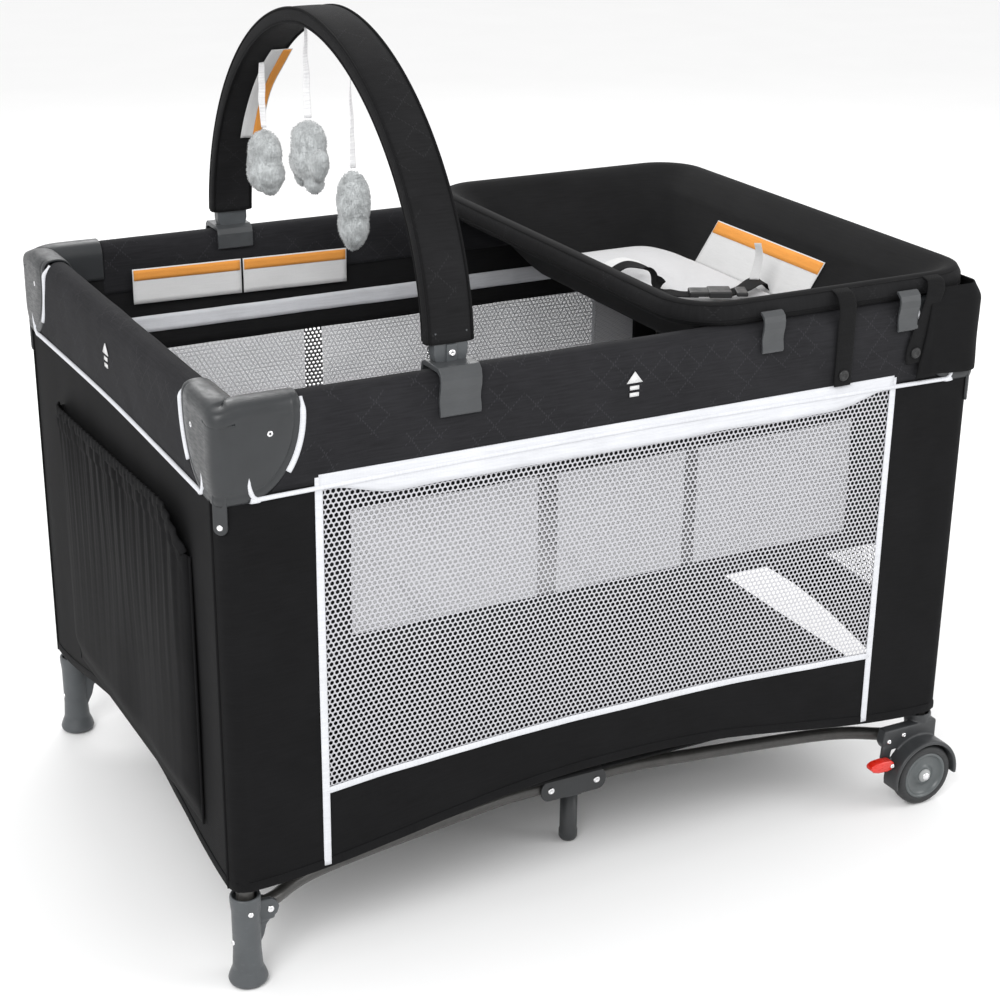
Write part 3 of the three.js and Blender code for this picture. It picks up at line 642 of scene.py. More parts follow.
def light_studio():
    world = bpy.data.worlds.new("studio")
    bpy.context.scene.world = world
    world.use_nodes = True
    world.node_tree.nodes["Background"].inputs["Color"].default_value = (1.0, 1.0, 1.0, 1.0)
    world.node_tree.nodes["Background"].inputs["Strength"].default_value = 1.0
    add_light("key", (-2.6, -2.4, 3.2), (0, 0, 0.4), (2.2, 1.6), 95)
    add_light("fill", (2.8, -2.2, 2.0), (0, 0, 0.4), (2.0, 2.0), 35)
    add_light("back", (1.0, 3.2, 3.0), (0, 0, 0.5), (2.5, 1.2), 55)
    bpy.context.scene.view_settings.view_transform = "Standard"


set_camera()
add_floor()
light_studio()

# ----------------------------------------------------------------------------- cords
# Each toy hangs from the bar on a flat satin ribbon.

RIBBON_WIDTH = 0.009
TOYS = ("left", "middle", "right")


def toy_ribbon(name):
    low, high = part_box(f"toy_ribbon_{name}")
    x, y = (low.x + high.x) / 2, (low.y + high.y) / 2
    length = high.z - low.z
    path = []
    for k in range(22):
        t = k / 21
        bow = math.sin(math.pi * t)
        path.append(Vector((x + 0.002 * bow * ripple(k * 0.2, y * 9), y + 0.0025 * bow, high.z - length * t)))

    def across(t):
        turn = 0.5 + 1.3 * t + 4 * y
        return (math.sin(turn), math.cos(turn), 0.0)

    made = sweep(f"hanging_ribbon_{name}", path, oval(RIBBON_WIDTH, 0.0011, 10, 3), across, satin)
    settle(made, f"toy_{name}", [f"toy_ribbon_{name}"])
    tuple(path[0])


for toy in TOYS:
    toy_ribbon(toy)

# ----------------------------------------------------------------------------- walls


class Wall:
    """One side of the yard: `s` runs along it, seen from outside, and `out` away from it."""

    def __init__(self, name, along, out, half, mid, body, wraps):
        self.name, self.half, self.body, self.wraps = name, half, body, wraps
        self.along, self.out, self.mid = Vector(along), Vector(out), Vector(mid)
        if abs(along[0]) > 0.5:
            self.squash = ((1, 0, 0), (-LEG_X, 0, 0), FOLDED_LONG)
        else:
            self.squash = ((0, 1, 0), (0, -LEG_Y, 0), FOLDED_SHORT)
        self.end = half + (SKIN * math.pi / 2 if wraps else 0.0)

    def at(self, s, z, out=SKIN):
        """The point at that place. The long walls wrap round the legs at their ends."""
        past = max(0.0, abs(s) - self.half) / SKIN if self.wraps else 0.0
        run = math.copysign(min(abs(s), self.half) + out * math.sin(past), s)
        if not self.wraps:
            run, past = s, 0.0
        return self.mid + self.along * run + self.out * (out * math.cos(past)) + Vector((0, 0, z))

    def keep(self, made, slot, nodes=()):
        return settle(made, self.body, nodes, self.squash)


WALLS = {
    "front": Wall("front", (1, 0, 0), (0, -1, 0), LEG_X, (0, -LEG_Y, 0), "post_front_left", True),
    "back": Wall("back", (-1, 0, 0), (0, 1, 0), LEG_X, (0, LEG_Y, 0), "post_back_left", True),
    "left": Wall("left", (0, -1, 0), (-1, 0, 0), LEG_Y, (-LEG_X, 0, 0), "post_front_left", False),
    "right": Wall("right", (0, 1, 0), (1, 0, 0), LEG_Y, (LEG_X, 0, 0), "post_front_right", False),
}

HEM_END, HEM_MID = 0.135, 0.186  # lower edge of the walls, at the corners and in the middle
NET_LOW_END, NET_LOW_MID = 0.236, 0.262  # lower edge of the netting
BAND_LOW = 0.634  # lower edge of the rail covers, outside
TAPE_TOP = 0.642
WALL_TOP = 0.66  # under the rail covers
WINDOW = {"front": (-0.404, 0.39), "back": (-0.39, 0.404), "right": (-0.262, 0.262)}
BAG_HALF_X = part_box("bassinet")[1].x
BAG_HALF_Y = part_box("bassinet")[1].y


def hem(wall, s):
    share = min(1.0, abs(s) / wall.half)
    return lerp(HEM_MID, HEM_END, ease(share) ** 1.2)


def net_low(wall, s):
    return lerp(NET_LOW_MID, NET_LOW_END, (abs(s) / wall.half) ** 2)


def drape(wall, s, z):
    """How far cloth that hangs between seams stands off the wall's plane."""
    seed = {"front": 3.1, "back": 7.7, "left": 12.4, "right": 18.9}[wall.name]
    free = math.sin(math.pi * min(1.0, max(0.0, (z - 0.13) / 0.5)))
    folds = ripple(s * 7, z * 2.2, seed) + 0.5 * ripple(s * 19, z * 5, seed + 2)
    edge = ease((wall.half - abs(s)) / 0.05)
    return 0.0035 * folds * free * edge


def wall_panel(wall, name, s0, s1, low, high, material, nu, nv, slot, stand=0.0, thickness=0.0013, nodes=()):
    def point(u, v):
        s = lerp(s0, s1, u)
        z = lerp(low(s), high(s), v)
        return wall.at(s, z, SKIN + stand + drape(wall, s, z))

    made = surface(name, point, nu, nv, material, thickness=thickness)
    wall.keep(made, slot, nodes)
    tall = sum(high(lerp(s0, s1, k / 8)) - low(lerp(s0, s1, k / 8)) for k in range(9)) / 9
    return made


def tape_along(wall, name, path, width, material=None, thick=0.0022, stand=0.0016, slot="white_binding"):
    """A flat tape sewn over a seam of the wall: path gives (s, z) from t."""
    count = 72
    points = []
    for k in range(count + 1):
        s, z = path(k / count)
        points.append(wall.at(s, z, SKIN + stand + drape(wall, s, z)))
    step = points[-1] - points[0]
    across = wall.along if abs(step.z) > step.length * 0.6 else Vector((0, 0, 1))
    made = sweep(name, points, oval(width, thick, 12, 3), across, material or white_tape)
    return wall.keep(made, slot)


def window_wall(wall):
    """A wall with a netting window between two cloth columns and a lower strip."""
    name = wall.name
    w0, w1 = WINDOW[name]
    foot, sill, top = (lambda s: hem(wall, s)), (lambda s: net_low(wall, s)), (lambda s: WALL_TOP)
    wall_panel(wall, f"{name}_wall_column_a", -wall.end, w0, foot, top, black_cloth, 30, 60,
               "black_fabric", nodes=[f"wall_{name}"])
    wall_panel(wall, f"{name}_wall_column_b", w1, wall.end, foot, top, black_cloth, 30, 60, "black_fabric")
    wall_panel(wall, f"{name}_wall_strip", w0, w1, foot, sill, black_cloth, 90, 12, "black_fabric")
    wall_panel(wall, f"{name}_netting", w0, w1, sill, top, white_net, 90, 48, "white_mesh", thickness=0.0)
    for letter, s in (("a", w0), ("b", w1)):
        lowest = net_low(wall, s) if name == "right" else hem(wall, s) + 0.004
        tape_along(wall, f"{name}_tape_{letter}", lambda t: (s, lerp(lowest, TAPE_TOP, t)), 0.0095)
    tape_along(wall, f"{wall.name}_tape_low", lambda t: (lerp(w0, w1, t), net_low(wall, lerp(w0, w1, t))),
               0.0085)

    def top_tape(u, v):
        s = lerp(w0, w1, u)
        taper = ease(min(u, 1 - u) / 0.12)
        lowest = 0.629 - 0.018 * taper - 0.003 * ripple(s * 11, 4.0)
        return wall.at(s, lerp(lowest, 0.645, v), SKIN + 0.0022 + drape(wall, s, 0.6))

    wide = surface(f"{wall.name}_tape_top", top_tape, 90, 5, white_tape, thickness=0.0016)
    wall.keep(wide, "white_binding")


def plain_wall(wall):
    wall_panel(wall, f"{wall.name}_wall_panel", -wall.half, wall.half, lambda s: hem(wall, s),
               lambda s: WALL_TOP, black_cloth, 70, 60, "black_fabric", nodes=[f"wall_{wall.name}"])


def hem_binding(wall):
    tape_along(wall, f"{wall.name}_hem_binding",
               lambda t: (lerp(-wall.end, wall.end, t), hem(wall, lerp(-wall.end, wall.end, t)) + 0.006),
               0.013, black_cloth, stand=0.001, slot="black_fabric")


def leg_seams(wall):
    """The seam down each leg, where the long walls' cloth meets the short walls'."""
    for letter, s in (("a", -wall.end), ("b", wall.end)):
        tape_along(wall, f"{wall.name}_leg_seam_{letter}", lambda t: (s, lerp(HEM_END, 0.63, t)), 0.006,
                   black_cloth, stand=0.0, slot="black_fabric")


# The rail covers: padded bands over the top rails, with stitched diamonds outside.

CAP_FACE = 0.0205
CAP_WING = 0.08
WING_TOP = 0.722
WING_RISE = 0.096
CAP_CORE = 0.012
BAND_SECTION = [(0.0186, BAND_LOW), (0.0198, 0.66), (0.0205, 0.69), (0.0196, 0.712), (0.0165, 0.727),
                (0.009, 0.7365), (0.0, 0.739), (-0.009, 0.7365), (-0.0155, 0.728), (-0.0185, 0.712),
                (-0.0188, 0.69), (-0.0185, 0.668)]


def wing_reach(z):
    """How far a corner cap's wing reaches from the leg at that height."""
    if z >= WING_TOP:
        return CAP_WING
    down = min(1.0, (WING_TOP - z) / WING_RISE)
    return CAP_CORE + (CAP_WING - CAP_CORE) * math.sqrt(max(0.0, 1 - down * down))


def rail_cover(wall):
    section = smooth_path([(a, 0, b) for a, b in BAND_SECTION], 44)

    def point(u, v):
        place = section[round(v * 44)]
        reach = wing_reach(max(place.z, BAND_LOW)) if v < 0.5 else CAP_WING
        end = wall.half - reach + 0.012
        s = lerp(-end, end, u)
        under = ease((abs(s) - (wall.half - reach - 0.004)) / 0.012)
        out = place.x * (1 - 0.24 * under)
        plump = 0.0012 * ripple(s * 15, place.z * 30, wall.half * 9) * (1 - under)
        wavy = 0.0015 * ripple(s * 9, 2.0, wall.half) * (1 if v < 0.15 else 0)
        return wall.at(s, place.z + wavy - 0.004 * under * (v > 0.3), out + math.copysign(plump, out))

    made = surface(f"{wall.name}_rail_cover", point, 150, 44, band_cloth, thickness=0.0014)
    wall.keep(made, "black_fabric")


def cover_piping(wall):
    """White piping along the cover's lower edge and up behind each corner cap."""
    corner = wall.half - wing_reach(BAND_LOW + 0.001) + 0.018
    low = BAND_LOW - 0.006
    path = [(-corner - 0.006, low + 0.035), (-corner - 0.004, low + 0.012), (-corner + 0.006, low),
            (-corner + 0.04, low + 0.001), (0.0, BAND_LOW), (corner - 0.04, low + 0.001),
            (corner - 0.006, low), (corner + 0.004, low + 0.012), (corner + 0.006, low + 0.035)]
    line = smooth_path([(s, 0, z) for s, z in path], 110)
    points = [wall.at(p.x, p.z, SKIN + 0.0022) for p in line]
    made = tube(f"{wall.name}_cover_piping", points, 0.0028, white_tape, 10)
    wall.keep(made, "white_binding")
    for letter, side in (("a", -1), ("b", 1)):
        edge = []
        for k in range(25):
            z = lerp(WING_TOP + 0.013, 0.655, k / 24)
            out = CAP_FACE - 0.0005 - 0.01 * ease((z - 0.722) / 0.014)
            edge.append(wall.at(side * (wall.half - wing_reach(z) - 0.003), z, out))
        piping = tube(f"{wall.name}_cap_piping_{letter}", edge, 0.0036, white_tape, 10)
        wall.keep(piping, "white_binding")


def latch_mark(wall):
    """An arrow over two bars, printed where the rail is unlocked."""
    lowest, bar, stand = 0.676, 0.0062, 0.0229
    parts = [[(-bar, low), (bar, low), (bar, low + 0.0048), (-bar, low + 0.0048)] for low in (0.0, 0.0085)]
    parts.append([(-0.011, 0.017), (0.011, 0.017), (0.0, 0.031)])
    points, faces = [], []
    for outline in parts:
        faces.append(tuple(range(len(points), len(points) + len(outline))))
        points += [wall.at(s, lowest + z, stand) for s, z in outline]
    made = piece_from(f"{wall.name}_latch_mark", points, faces, label_white, parts)
    shell = made.modifiers.new("thickness", "SOLIDIFY")
    shell.thickness = 0.0008
    wall.keep(made, "white_binding")


for wall in WALLS.values():
    if wall.name == "left":
        plain_wall(wall)
    else:
        window_wall(wall)
    hem_binding(wall)
    rail_cover(wall)
    cover_piping(wall)
    latch_mark(wall)
for name in ("front", "back"):
    leg_seams(WALLS[name])


# ---------------------------------------------------------------------- carried over


def dress(node, material, width=0.0):
    """Gives a CAD piece its material and soft edges. Its shape stays as it is."""
    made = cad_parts[node]
    made.data.materials.clear()
    made.data.materials.append(material)
    if width:
        round_edges(made, width)
    return made


CORNERS = {"front_left": (-1, -1), "front_right": (1, -1), "back_left": (-1, 1), "back_right": (1, 1)}

for corner in CORNERS:
    dress(f"leg_{corner}", tube_paint, 0.0006)
    dress(f"long_rail_{corner}", tube_paint, 0.0005)
    dress(f"short_rail_{corner}", tube_paint, 0.0005)
for side in ("front", "back", "left", "right"):
    dress(f"rail_latch_{side}", dark_plastic, 0.001)
for side in ("front", "back"):
    dress(f"cross_arm_{side}", tube_paint, 0.0006)
dress("centre_hub", dark_plastic, 0.0015)

# ---------------------------------------------------------------------- corner pieces


class Corner:
    """A corner of the yard: u runs in from the leg along the long wall, v along the short one."""

    def __init__(self, name):
        self.name = name
        self.sx, self.sy = CORNERS[name]
        self.body = f"post_{name}"

    def at(self, u, v, z):
        return Vector((self.sx * (LEG_X - u), self.sy * (LEG_Y - v), z))

    def slab(self, name, outline, low, high, material, bevel=0.0012):
        """A slab across v whose outline is in (u, z)."""
        flat = [(self.at(u, 0, z).x, z) for u, z in outline]
        ends = sorted((self.at(0, low, 0).y, self.at(0, high, 0).y))
        return prism(name, flat, "y", ends[0], ends[1], material, bevel)

    def way(self, u, v):
        """The direction of (u, v) from the leg."""
        return Vector((-self.sx * u, -self.sy * v, 0))


def screw(name, place, normal, body, radius=0.0042):
    profile = [(0.0002, 0.0010), (radius * 0.3, 0.0010), (radius * 0.38, 0.0021), (radius * 0.75, 0.0017),
               (radius, 0.0006), (radius, -0.003), (0.0002, -0.003)]
    return settle(lathe(name, profile, place, normal, chrome, 20), body)


def shield_depth(d, z):
    """How far a place on a cap's wing is inside the wing's edge."""
    along = max(0.0, d - CAP_CORE) / (CAP_WING - CAP_CORE)
    if z >= WING_TOP:
        return (1 - along) * (CAP_WING - CAP_CORE)
    return (1 - math.hypot(along, (WING_TOP - z) / WING_RISE)) * 0.08


def corner_cap(corner):
    """The moulded cap over two rail ends: two shield-shaped wings and a saddle on top."""
    arc = math.pi / 4 * CAP_FACE
    top = smooth_path([(0.0196, 0, WING_TOP), (0.0194, 0, 0.7295), (0.0162, 0, 0.737), (0.008, 0, 0.7405),
                       (-0.004, 0, 0.7405), (-0.0132, 0, 0.7365), (-0.0182, 0, 0.728), (-0.0192, 0, 0.712),
                       (-0.0192, 0, 0.69)], 24)

    def point(u, v):
        t = lerp(-1, 1, u) * (arc + CAP_WING - 0.0005)
        d = max(0.0, abs(t) - arc)
        lift = max(0.0, (d - CAP_CORE) / (CAP_WING - CAP_CORE))
        low = WING_TOP - WING_RISE * math.sqrt(max(0.0, 1 - lift * lift))
        ridge = math.exp(-((t / 0.009) ** 2))
        if v < 0.55:
            z, out = lerp(low, WING_TOP, v / 0.55), 0.0196
        else:
            share = (v - 0.55) / 0.45 * 24
            step = min(23, int(share))
            place = top[step].lerp(top[step + 1], share - step)
            z, out = place.z - 0.006 * math.exp(-((t / 0.02) ** 2)), place.x
        inside = max(0.0, shield_depth(d, z))
        if out > 0:
            swell = 0.0026 * ease(inside / 0.03) - 0.0011 * (1 - ease(inside / 0.003))
            swell -= 0.0013 * math.exp(-(((inside - 0.0085) / 0.0013) ** 2))
            out += ease((out - 0.006) / 0.0125) * (swell + 0.0032 * ridge)
        if out < 0:
            reach = max(d, -out)
            spot = (reach, -out) if t < -arc else (-out, reach) if t > arc else (-out, -out)
        elif t < -arc:
            spot = (d, -out)
        elif t > arc:
            spot = (-out, d)
        else:
            turn = (t + arc) / (2 * arc) * math.pi / 2
            spot = (-out * math.sin(turn), -out * math.cos(turn))
        return corner.at(*spot, z)

    name = corner.name
    made = surface(f"{name}_cap_shell", point, 132, 80, cap_plastic, thickness=0.003)
    settle(made, corner.body, [f"corner_cap_{name}"])
    collar = lathe(f"{name}_cap_collar", [(LEG_RADIUS + 0.0004, 0.612), (LEG_RADIUS + 0.003, 0.612),
                                          (LEG_RADIUS + 0.0045, 0.616), (LEG_RADIUS + 0.0052, 0.68),
                                          (LEG_RADIUS + 0.0004, 0.68)], corner.at(0, 0, 0), (0, 0, 1),
                   cap_plastic)
    settle(collar, corner.body)
    tongue = []
    for k in range(15):
        a = math.pi + math.pi * k / 14
        tongue.append((0.0085 * math.cos(a), 0.6 + 0.0085 * math.sin(a)))
    tongue += [(0.0085, 0.648), (-0.0085, 0.648)]
    slant = Vector(corner.way(-1, -1)).normalized()
    across = Vector((0, 0, 1)).cross(slant)

    def place(s, z, away):
        return corner.at(0, 0, z) + slant * away + across * s

    tab = slab(f"{name}_cap_tab", tongue, place, 0.0185, 0.0225, cap_plastic, 0.0012)
    settle(tab, corner.body)
    screw(f"{name}_tab_screw", corner.at(0, 0, 0.601) + slant * 0.0226, slant, corner.body, 0.0038)
    screw(f"{name}_ridge_screw", corner.at(0, 0, 0.652) + slant * 0.0237, slant, corner.body)
    screw(f"{name}_long_screw", corner.at(0.043, -0.0222, 0.703), corner.way(0, -1), corner.body)
    screw(f"{name}_short_screw", corner.at(-0.0222, 0.043, 0.703), corner.way(-1, 0), corner.body)


def leg_socket(corner, high=0.121):
    profile = [(0.0002, 0.0), (0.0195, 0.0), (0.0232, 0.0022), (0.0243, 0.0062), (0.0222, 0.0128),
               (0.0186, 0.022), (0.0172, 0.045), (0.0174, high - 0.022), (0.0188, high - 0.008),
               (0.0188, high - 0.001), (0.0168, high + 0.0012), (0.0146, high - 0.001),
               (0.0146, high - 0.008), (0.0002, high - 0.008)]
    return lathe(f"{corner.name}_socket", profile, corner.at(0, 0, 0), (0, 0, 1), grey_plastic, 56)


ARM_LUG = [(0.006, 0.074), (0.034, 0.0765), (0.0415, 0.082), (0.044, 0.09), (0.0415, 0.098),
           (0.034, 0.1035), (0.006, 0.106)]


def plain_foot(corner):
    name = corner.name
    web = [(0.004, 0.03), (0.0165, 0.042), (0.0235, 0.056), (0.027, 0.07), (0.034, 0.0775), (0.034, 0.1),
           (0.006, 0.104)]
    parts = [
        leg_socket(corner),
        corner.slab("web", web, 0.0015, 0.0095, grey_plastic, 0.0015),
        corner.slab("lug", ARM_LUG, 0.0015, 0.0095, grey_plastic, 0.0015),
        corner.slab("rib", [(0.012, 0.0755), (0.036, 0.0775), (0.0375, 0.0805), (0.012, 0.0785)], -0.001,
                    0.009, grey_plastic, 0.0008),
    ]
    made = fused(f"{name}_foot", parts, 0.0012, 3)
    settle(made, corner.body, [f"foot_{name}"])
    screw(f"{name}_foot_screw", corner.at(0, -0.0176, 0.102), corner.way(0, -1), corner.body, 0.0036)
    screw(f"{name}_foot_low_screw", corner.at(-0.0172, 0, 0.058), corner.way(-1, 0), corner.body, 0.0036)
    screw(f"{name}_arm_rivet", corner.at(0.032, 0.0012, 0.09), corner.way(0, -1), corner.body, 0.0048)


AXLE = (0.01, -0.03, 0.045)  # u, v and z of the axle's middle
CENTRE_Y, CROSS_Y = 0.25, 0.228  # the centre brackets, and their pins to the cross arms


def wheel_mount(corner):
    """The dark block under a wheeled leg, with the mudguard and the lever's lug."""
    name = corner.name
    hood = []
    for k in range(41):
        a = lerp(-0.2, math.pi + 0.12, k / 40)
        hood.append(corner.at(AXLE[0] + 0.0512 * math.cos(a), -0.029, AXLE[2] + 0.0512 * math.sin(a)))
    arch = sweep("hood", hood, oval(0.029, 0.0062, 20, 5), (0, 1, 0), dark_plastic)
    tidy_normals(arch)
    web = [(AXLE[0] + 0.0505 * math.cos(a), AXLE[2] + 0.0505 * math.sin(a))
           for a in [lerp(-0.1, math.pi + 0.05, k / 24) for k in range(25)]]
    web += [(AXLE[0] - 0.02, 0.05), (AXLE[0], 0.064), (AXLE[0] + 0.02, 0.05)]
    parts = [
        arch,
        corner.slab("inner_web", web, -0.0175, -0.0135, dark_plastic, 0.0008),
        corner.slab("block", [(-0.02, 0.088), (0.058, 0.086), (0.068, 0.09), (0.0725, 0.099),
                              (0.069, 0.118), (-0.02, 0.118)], -0.0185, -0.002, dark_plastic, 0.002),
        corner.slab("axle_plate", [(-0.004, 0.034), (0.024, 0.034), (0.028, 0.094), (-0.008, 0.094)],
                    -0.016, -0.008, dark_plastic, 0.0015),
        corner.slab("lever_lug", [(0.058, 0.064), (0.074, 0.064), (0.072, 0.094), (0.056, 0.094)],
                    -0.019, -0.013, dark_plastic, 0.0015),
        corner.slab("lug", ARM_LUG, 0.0015, 0.0095, dark_plastic, 0.0015),
    ]
    socket = lathe("socket", [(0.0002, 0.08), (0.0172, 0.08), (0.0172, 0.106), (0.0188, 0.118),
                              (0.0188, 0.127), (0.0168, 0.129), (0.0146, 0.127), (0.0146, 0.12),
                              (0.0002, 0.12)], corner.at(0, 0, 0), (0, 0, 1), dark_plastic, 48)
    made = fused(f"{name}_wheel_bracket", [*parts, socket], 0.0013, 3)
    settle(made, corner.body, [f"wheel_bracket_{name}"])
    pin = lathe(f"{name}_axle", [(0.0002, -0.02), (0.005, -0.02), (0.005, 0.014), (0.0002, 0.014)],
                corner.at(*AXLE), corner.way(0, -1), chrome, 24)
    settle(pin, corner.body)
    screw(f"{name}_block_screw_a", corner.at(0.037, -0.0186, 0.106), corner.way(0, -1), corner.body, 0.0036)
    screw(f"{name}_block_screw_b", corner.at(0.062, -0.0186, 0.101), corner.way(0, -1), corner.body, 0.0036)
    screw(f"{name}_arm_rivet", corner.at(0.032, 0.0012, 0.081), corner.way(0, -1), corner.body, 0.0042)


def wheel(corner):
    name, side = corner.name, corner.name.split("_")[0]
    body, hub = f"wheel_{side}", corner.at(*AXLE)
    out = corner.way(0, -1)
    tyre = [(0.0335, -0.0095), (0.037, -0.0108), (0.0412, -0.0106), (0.0438, -0.0082), (0.0449, -0.0045),
            (0.0450, 0.0), (0.0449, 0.0045), (0.0438, 0.0082), (0.0412, 0.0106), (0.037, 0.0108),
            (0.0335, 0.0095), (0.0325, 0.0075), (0.0325, -0.0075)]
    made = lathe(f"{name}_tyre", tyre, hub, out, tyre_rubber, 72, ring=True)
    settle(made, body, [f"wheel_{name}"])
    disc = [(0.0056, -0.0085), (0.0330, -0.0085), (0.0345, -0.0075), (0.0345, 0.0095), (0.0332, 0.0107),
            (0.0312, 0.0103), (0.0298, 0.0078), (0.0285, 0.0056), (0.0215, 0.0036), (0.0150, 0.0045),
            (0.0132, 0.0066), (0.0118, 0.0076), (0.0056, 0.0078)]
    settle(lathe(f"{name}_wheel_disc", disc, hub, out, disc_plastic, 72, ring=True), body)
    cap = [(0.0052, 0.0072), (0.0094, 0.0072), (0.0098, 0.0090), (0.0088, 0.0106), (0.006, 0.0118),
           (0.003, 0.0123), (0.0002, 0.0124)]
    settle(lathe(f"{name}_axle_cap", cap, hub, out, axle_plastic, 40), body)


def brake_lever(corner):
    name, side = corner.name, corner.name.split("_")[0]
    pedal = [(0.0615, 0.0705), (0.0655, 0.0655), (0.073, 0.064), (0.088, 0.0648), (0.0965, 0.0675),
             (0.1015, 0.0725), (0.1, 0.0775), (0.094, 0.0803), (0.08, 0.0812), (0.067, 0.0795),
             (0.062, 0.076)]
    made = corner.slab(f"{name}_brake_lever", pedal, -0.0345, -0.0198, red_plastic, 0.0032)
    made.modifiers["edges"].segments = 4
    for polygon in made.data.polygons:
        polygon.use_smooth = True
    settle(made, f"brake_{side}", [f"brake_lever_{name}"])
    screw(f"{name}_lever_pin", corner.at(0.066, -0.0345, 0.072), corner.way(0, -1), f"brake_{side}", 0.0034)


def base_arm(corner):
    name = corner.name
    path = smooth_path([(0.0245, 0.021, 0), (0.042, 0.021, 0), (0.123, 0.058, 0), (0.348, 0.096, 0),
                        (0.418, 0.105, 0), (0.4765, 0.105, 0)], 60)
    points = [corner.at(p.x, p.y, BASE_Z) for p in path]
    made = tube(f"{name}_base_arm", points, 0.009, tube_paint, 24)
    tidy_normals(made)
    settle(round_edges(made, 0.0015), f"arm_{name}", [f"base_arm_{name}"])


for name in CORNERS:
    corner = Corner(name)
    corner_cap(corner)
    base_arm(corner)
    if name.endswith("left"):
        plain_foot(corner)
    else:
        wheel_mount(corner)
        wheel(corner)
        brake_lever(corner)

# -------------------------------------------------------------------- centre brackets


def centre_bracket(side, sy):
    y, body = sy * CENTRE_Y, f"bracket_{side}"
    plates = []
    for low in (-0.013, 0.010):
        plates.append(prism("plate", round_corners(-0.05, 0.05, 0.0745, 0.1055, 0.0135, 5), "y", y + low,
                            y + low + 0.003, dark_plastic, 0.0008))
    core = prism("core", round_corners(-0.0135, 0.0135, 0.073, 0.107, 0.003, 5), "y", y - 0.0125, y + 0.0125,
                 dark_plastic, 0.001)
    lug_ends = sorted((sy * 0.24, sy * CROSS_Y))
    lug = block("lug", (-0.004, lug_ends[0], 0.082), (0.004, lug_ends[1], 0.098), dark_plastic, 0.001)
    made = joined(f"{side}_centre_bracket", [*plates, core, lug])
    settle(made, body, [f"centre_bracket_{side}"])
    foot = lathe(f"{side}_support_foot", [(0.0002, 0.0), (0.006, 0.0004), (0.0105, 0.0025), (0.0128, 0.0065),
                                          (0.0128, 0.016), (0.0118, 0.019), (0.0118, 0.074),
                                          (0.0002, 0.074)], (0, y, 0), (0, 0, 1), dark_plastic, 40)
    settle(foot, body)
    pin = lathe(f"{side}_cross_pin", [(0.0002, -0.0105), (0.0048, -0.0105), (0.0048, -0.009), (0.003, -0.009),
                                      (0.003, 0.009), (0.0048, 0.009), (0.0048, 0.0105), (0.0002, 0.0105)],
                (0, sy * CROSS_Y, BASE_Z), (1, 0, 0), chrome, 24)
    settle(pin, body)
    for letter, x in (("a", -0.035), ("b", 0.035)):
        for where, out in (("outer", sy), ("inner", -sy)):
            screw(f"{side}_bracket_rivet_{letter}_{where}", (x, y + out * 0.0131, BASE_Z), (0, out, 0), body,
                  0.0052)


centre_bracket("front", -1)
centre_bracket("back", 1)

# -------------------------------------------------------------------------- bassinet
# It hangs inside the yard: a dark band, a white elastic, then windows over a dark strip.

BAG_OUT = BAG_HALF_X - LEG_X
BAG_HALF = {"front": BAG_HALF_X, "back": BAG_HALF_X, "left": BAG_HALF_Y, "right": BAG_HALF_Y}
BAG_LOW, BAG_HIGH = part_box("bassinet")[0].z, 0.707
PANES = {
    "front": [(-0.351, -0.105), (-0.078, 0.104), (0.122, 0.359)],
    "back": [(-0.44, -0.1), (-0.072, 0.1), (0.128, 0.44)],
    "left": [(-0.27, -0.014), (0.014, 0.27)],
    "right": [(-0.27, -0.014), (0.014, 0.27)],
}
PANE_LOW, PANE_HIGH = 0.421, 0.579
ELASTIC_LOW, ELASTIC_HIGH = 0.606, 0.63


def bag_panel(wall, name, s0, s1, z0, z1, material, slot, stand=0.0, thickness=0.001, nodes=(), sag=1.0):
    seed = wall.half * 40 + len(wall.name)

    def point(u, v):
        s, z = lerp(s0, s1, u), lerp(z0, z1, v)
        free = math.sin(math.pi * min(1.0, max(0.0, (z - BAG_LOW) / 0.3)))
        crumple = ripple(s * 13, z * 16, seed) + 0.4 * ripple(s * 36, z * 30, seed)
        return wall.at(s, z, BAG_OUT + 0.0025 - stand + 0.0028 * sag * free * crumple)

    made = surface(name, point, max(8, int((s1 - s0) * 90)), max(4, int((z1 - z0) * 90)), material,
                   thickness=thickness)
    wall.keep(made, slot, nodes)


def bag_wall(wall):
    """One side of the bassinet, with its windows and the strips between them."""
    half, name = BAG_HALF[wall.name], wall.name
    bag_panel(wall, f"{name}_bag_band", -half, half, PANE_HIGH, BAG_HIGH, lining_cloth, "black_fabric",
              nodes=["bassinet"] if name == "front" else ())
    bag_panel(wall, f"{name}_bag_strip", -half, half, BAG_LOW + 0.002, PANE_LOW, lining_cloth, "black_fabric")
    edges = [-half, *[s for pane in PANES[name] for s in pane], half]
    for k, (s0, s1) in enumerate(zip(edges, edges[1:])):
        if k % 2:
            bag_panel(wall, f"{name}_bag_window_{k}", s0, s1, PANE_LOW, PANE_HIGH, fine_net, "white_mesh",
                      thickness=0.0, sag=1.6)
        elif 0 < k < len(edges) - 2:
            bag_panel(wall, f"{name}_bag_divider_{k}", s0, s1, PANE_LOW, PANE_HIGH, dark_net,
                      "black_fabric", thickness=0.0)
        else:
            bag_panel(wall, f"{name}_bag_end_{k}", s0, s1, PANE_LOW, PANE_HIGH, lining_cloth, "black_fabric")
    bag_panel(wall, f"{name}_bag_elastic", -half + 0.003, half - 0.003, ELASTIC_LOW, ELASTIC_HIGH,
              white_tape, "white_binding", stand=0.0022)


for wall in WALLS.values():
    bag_wall(wall)


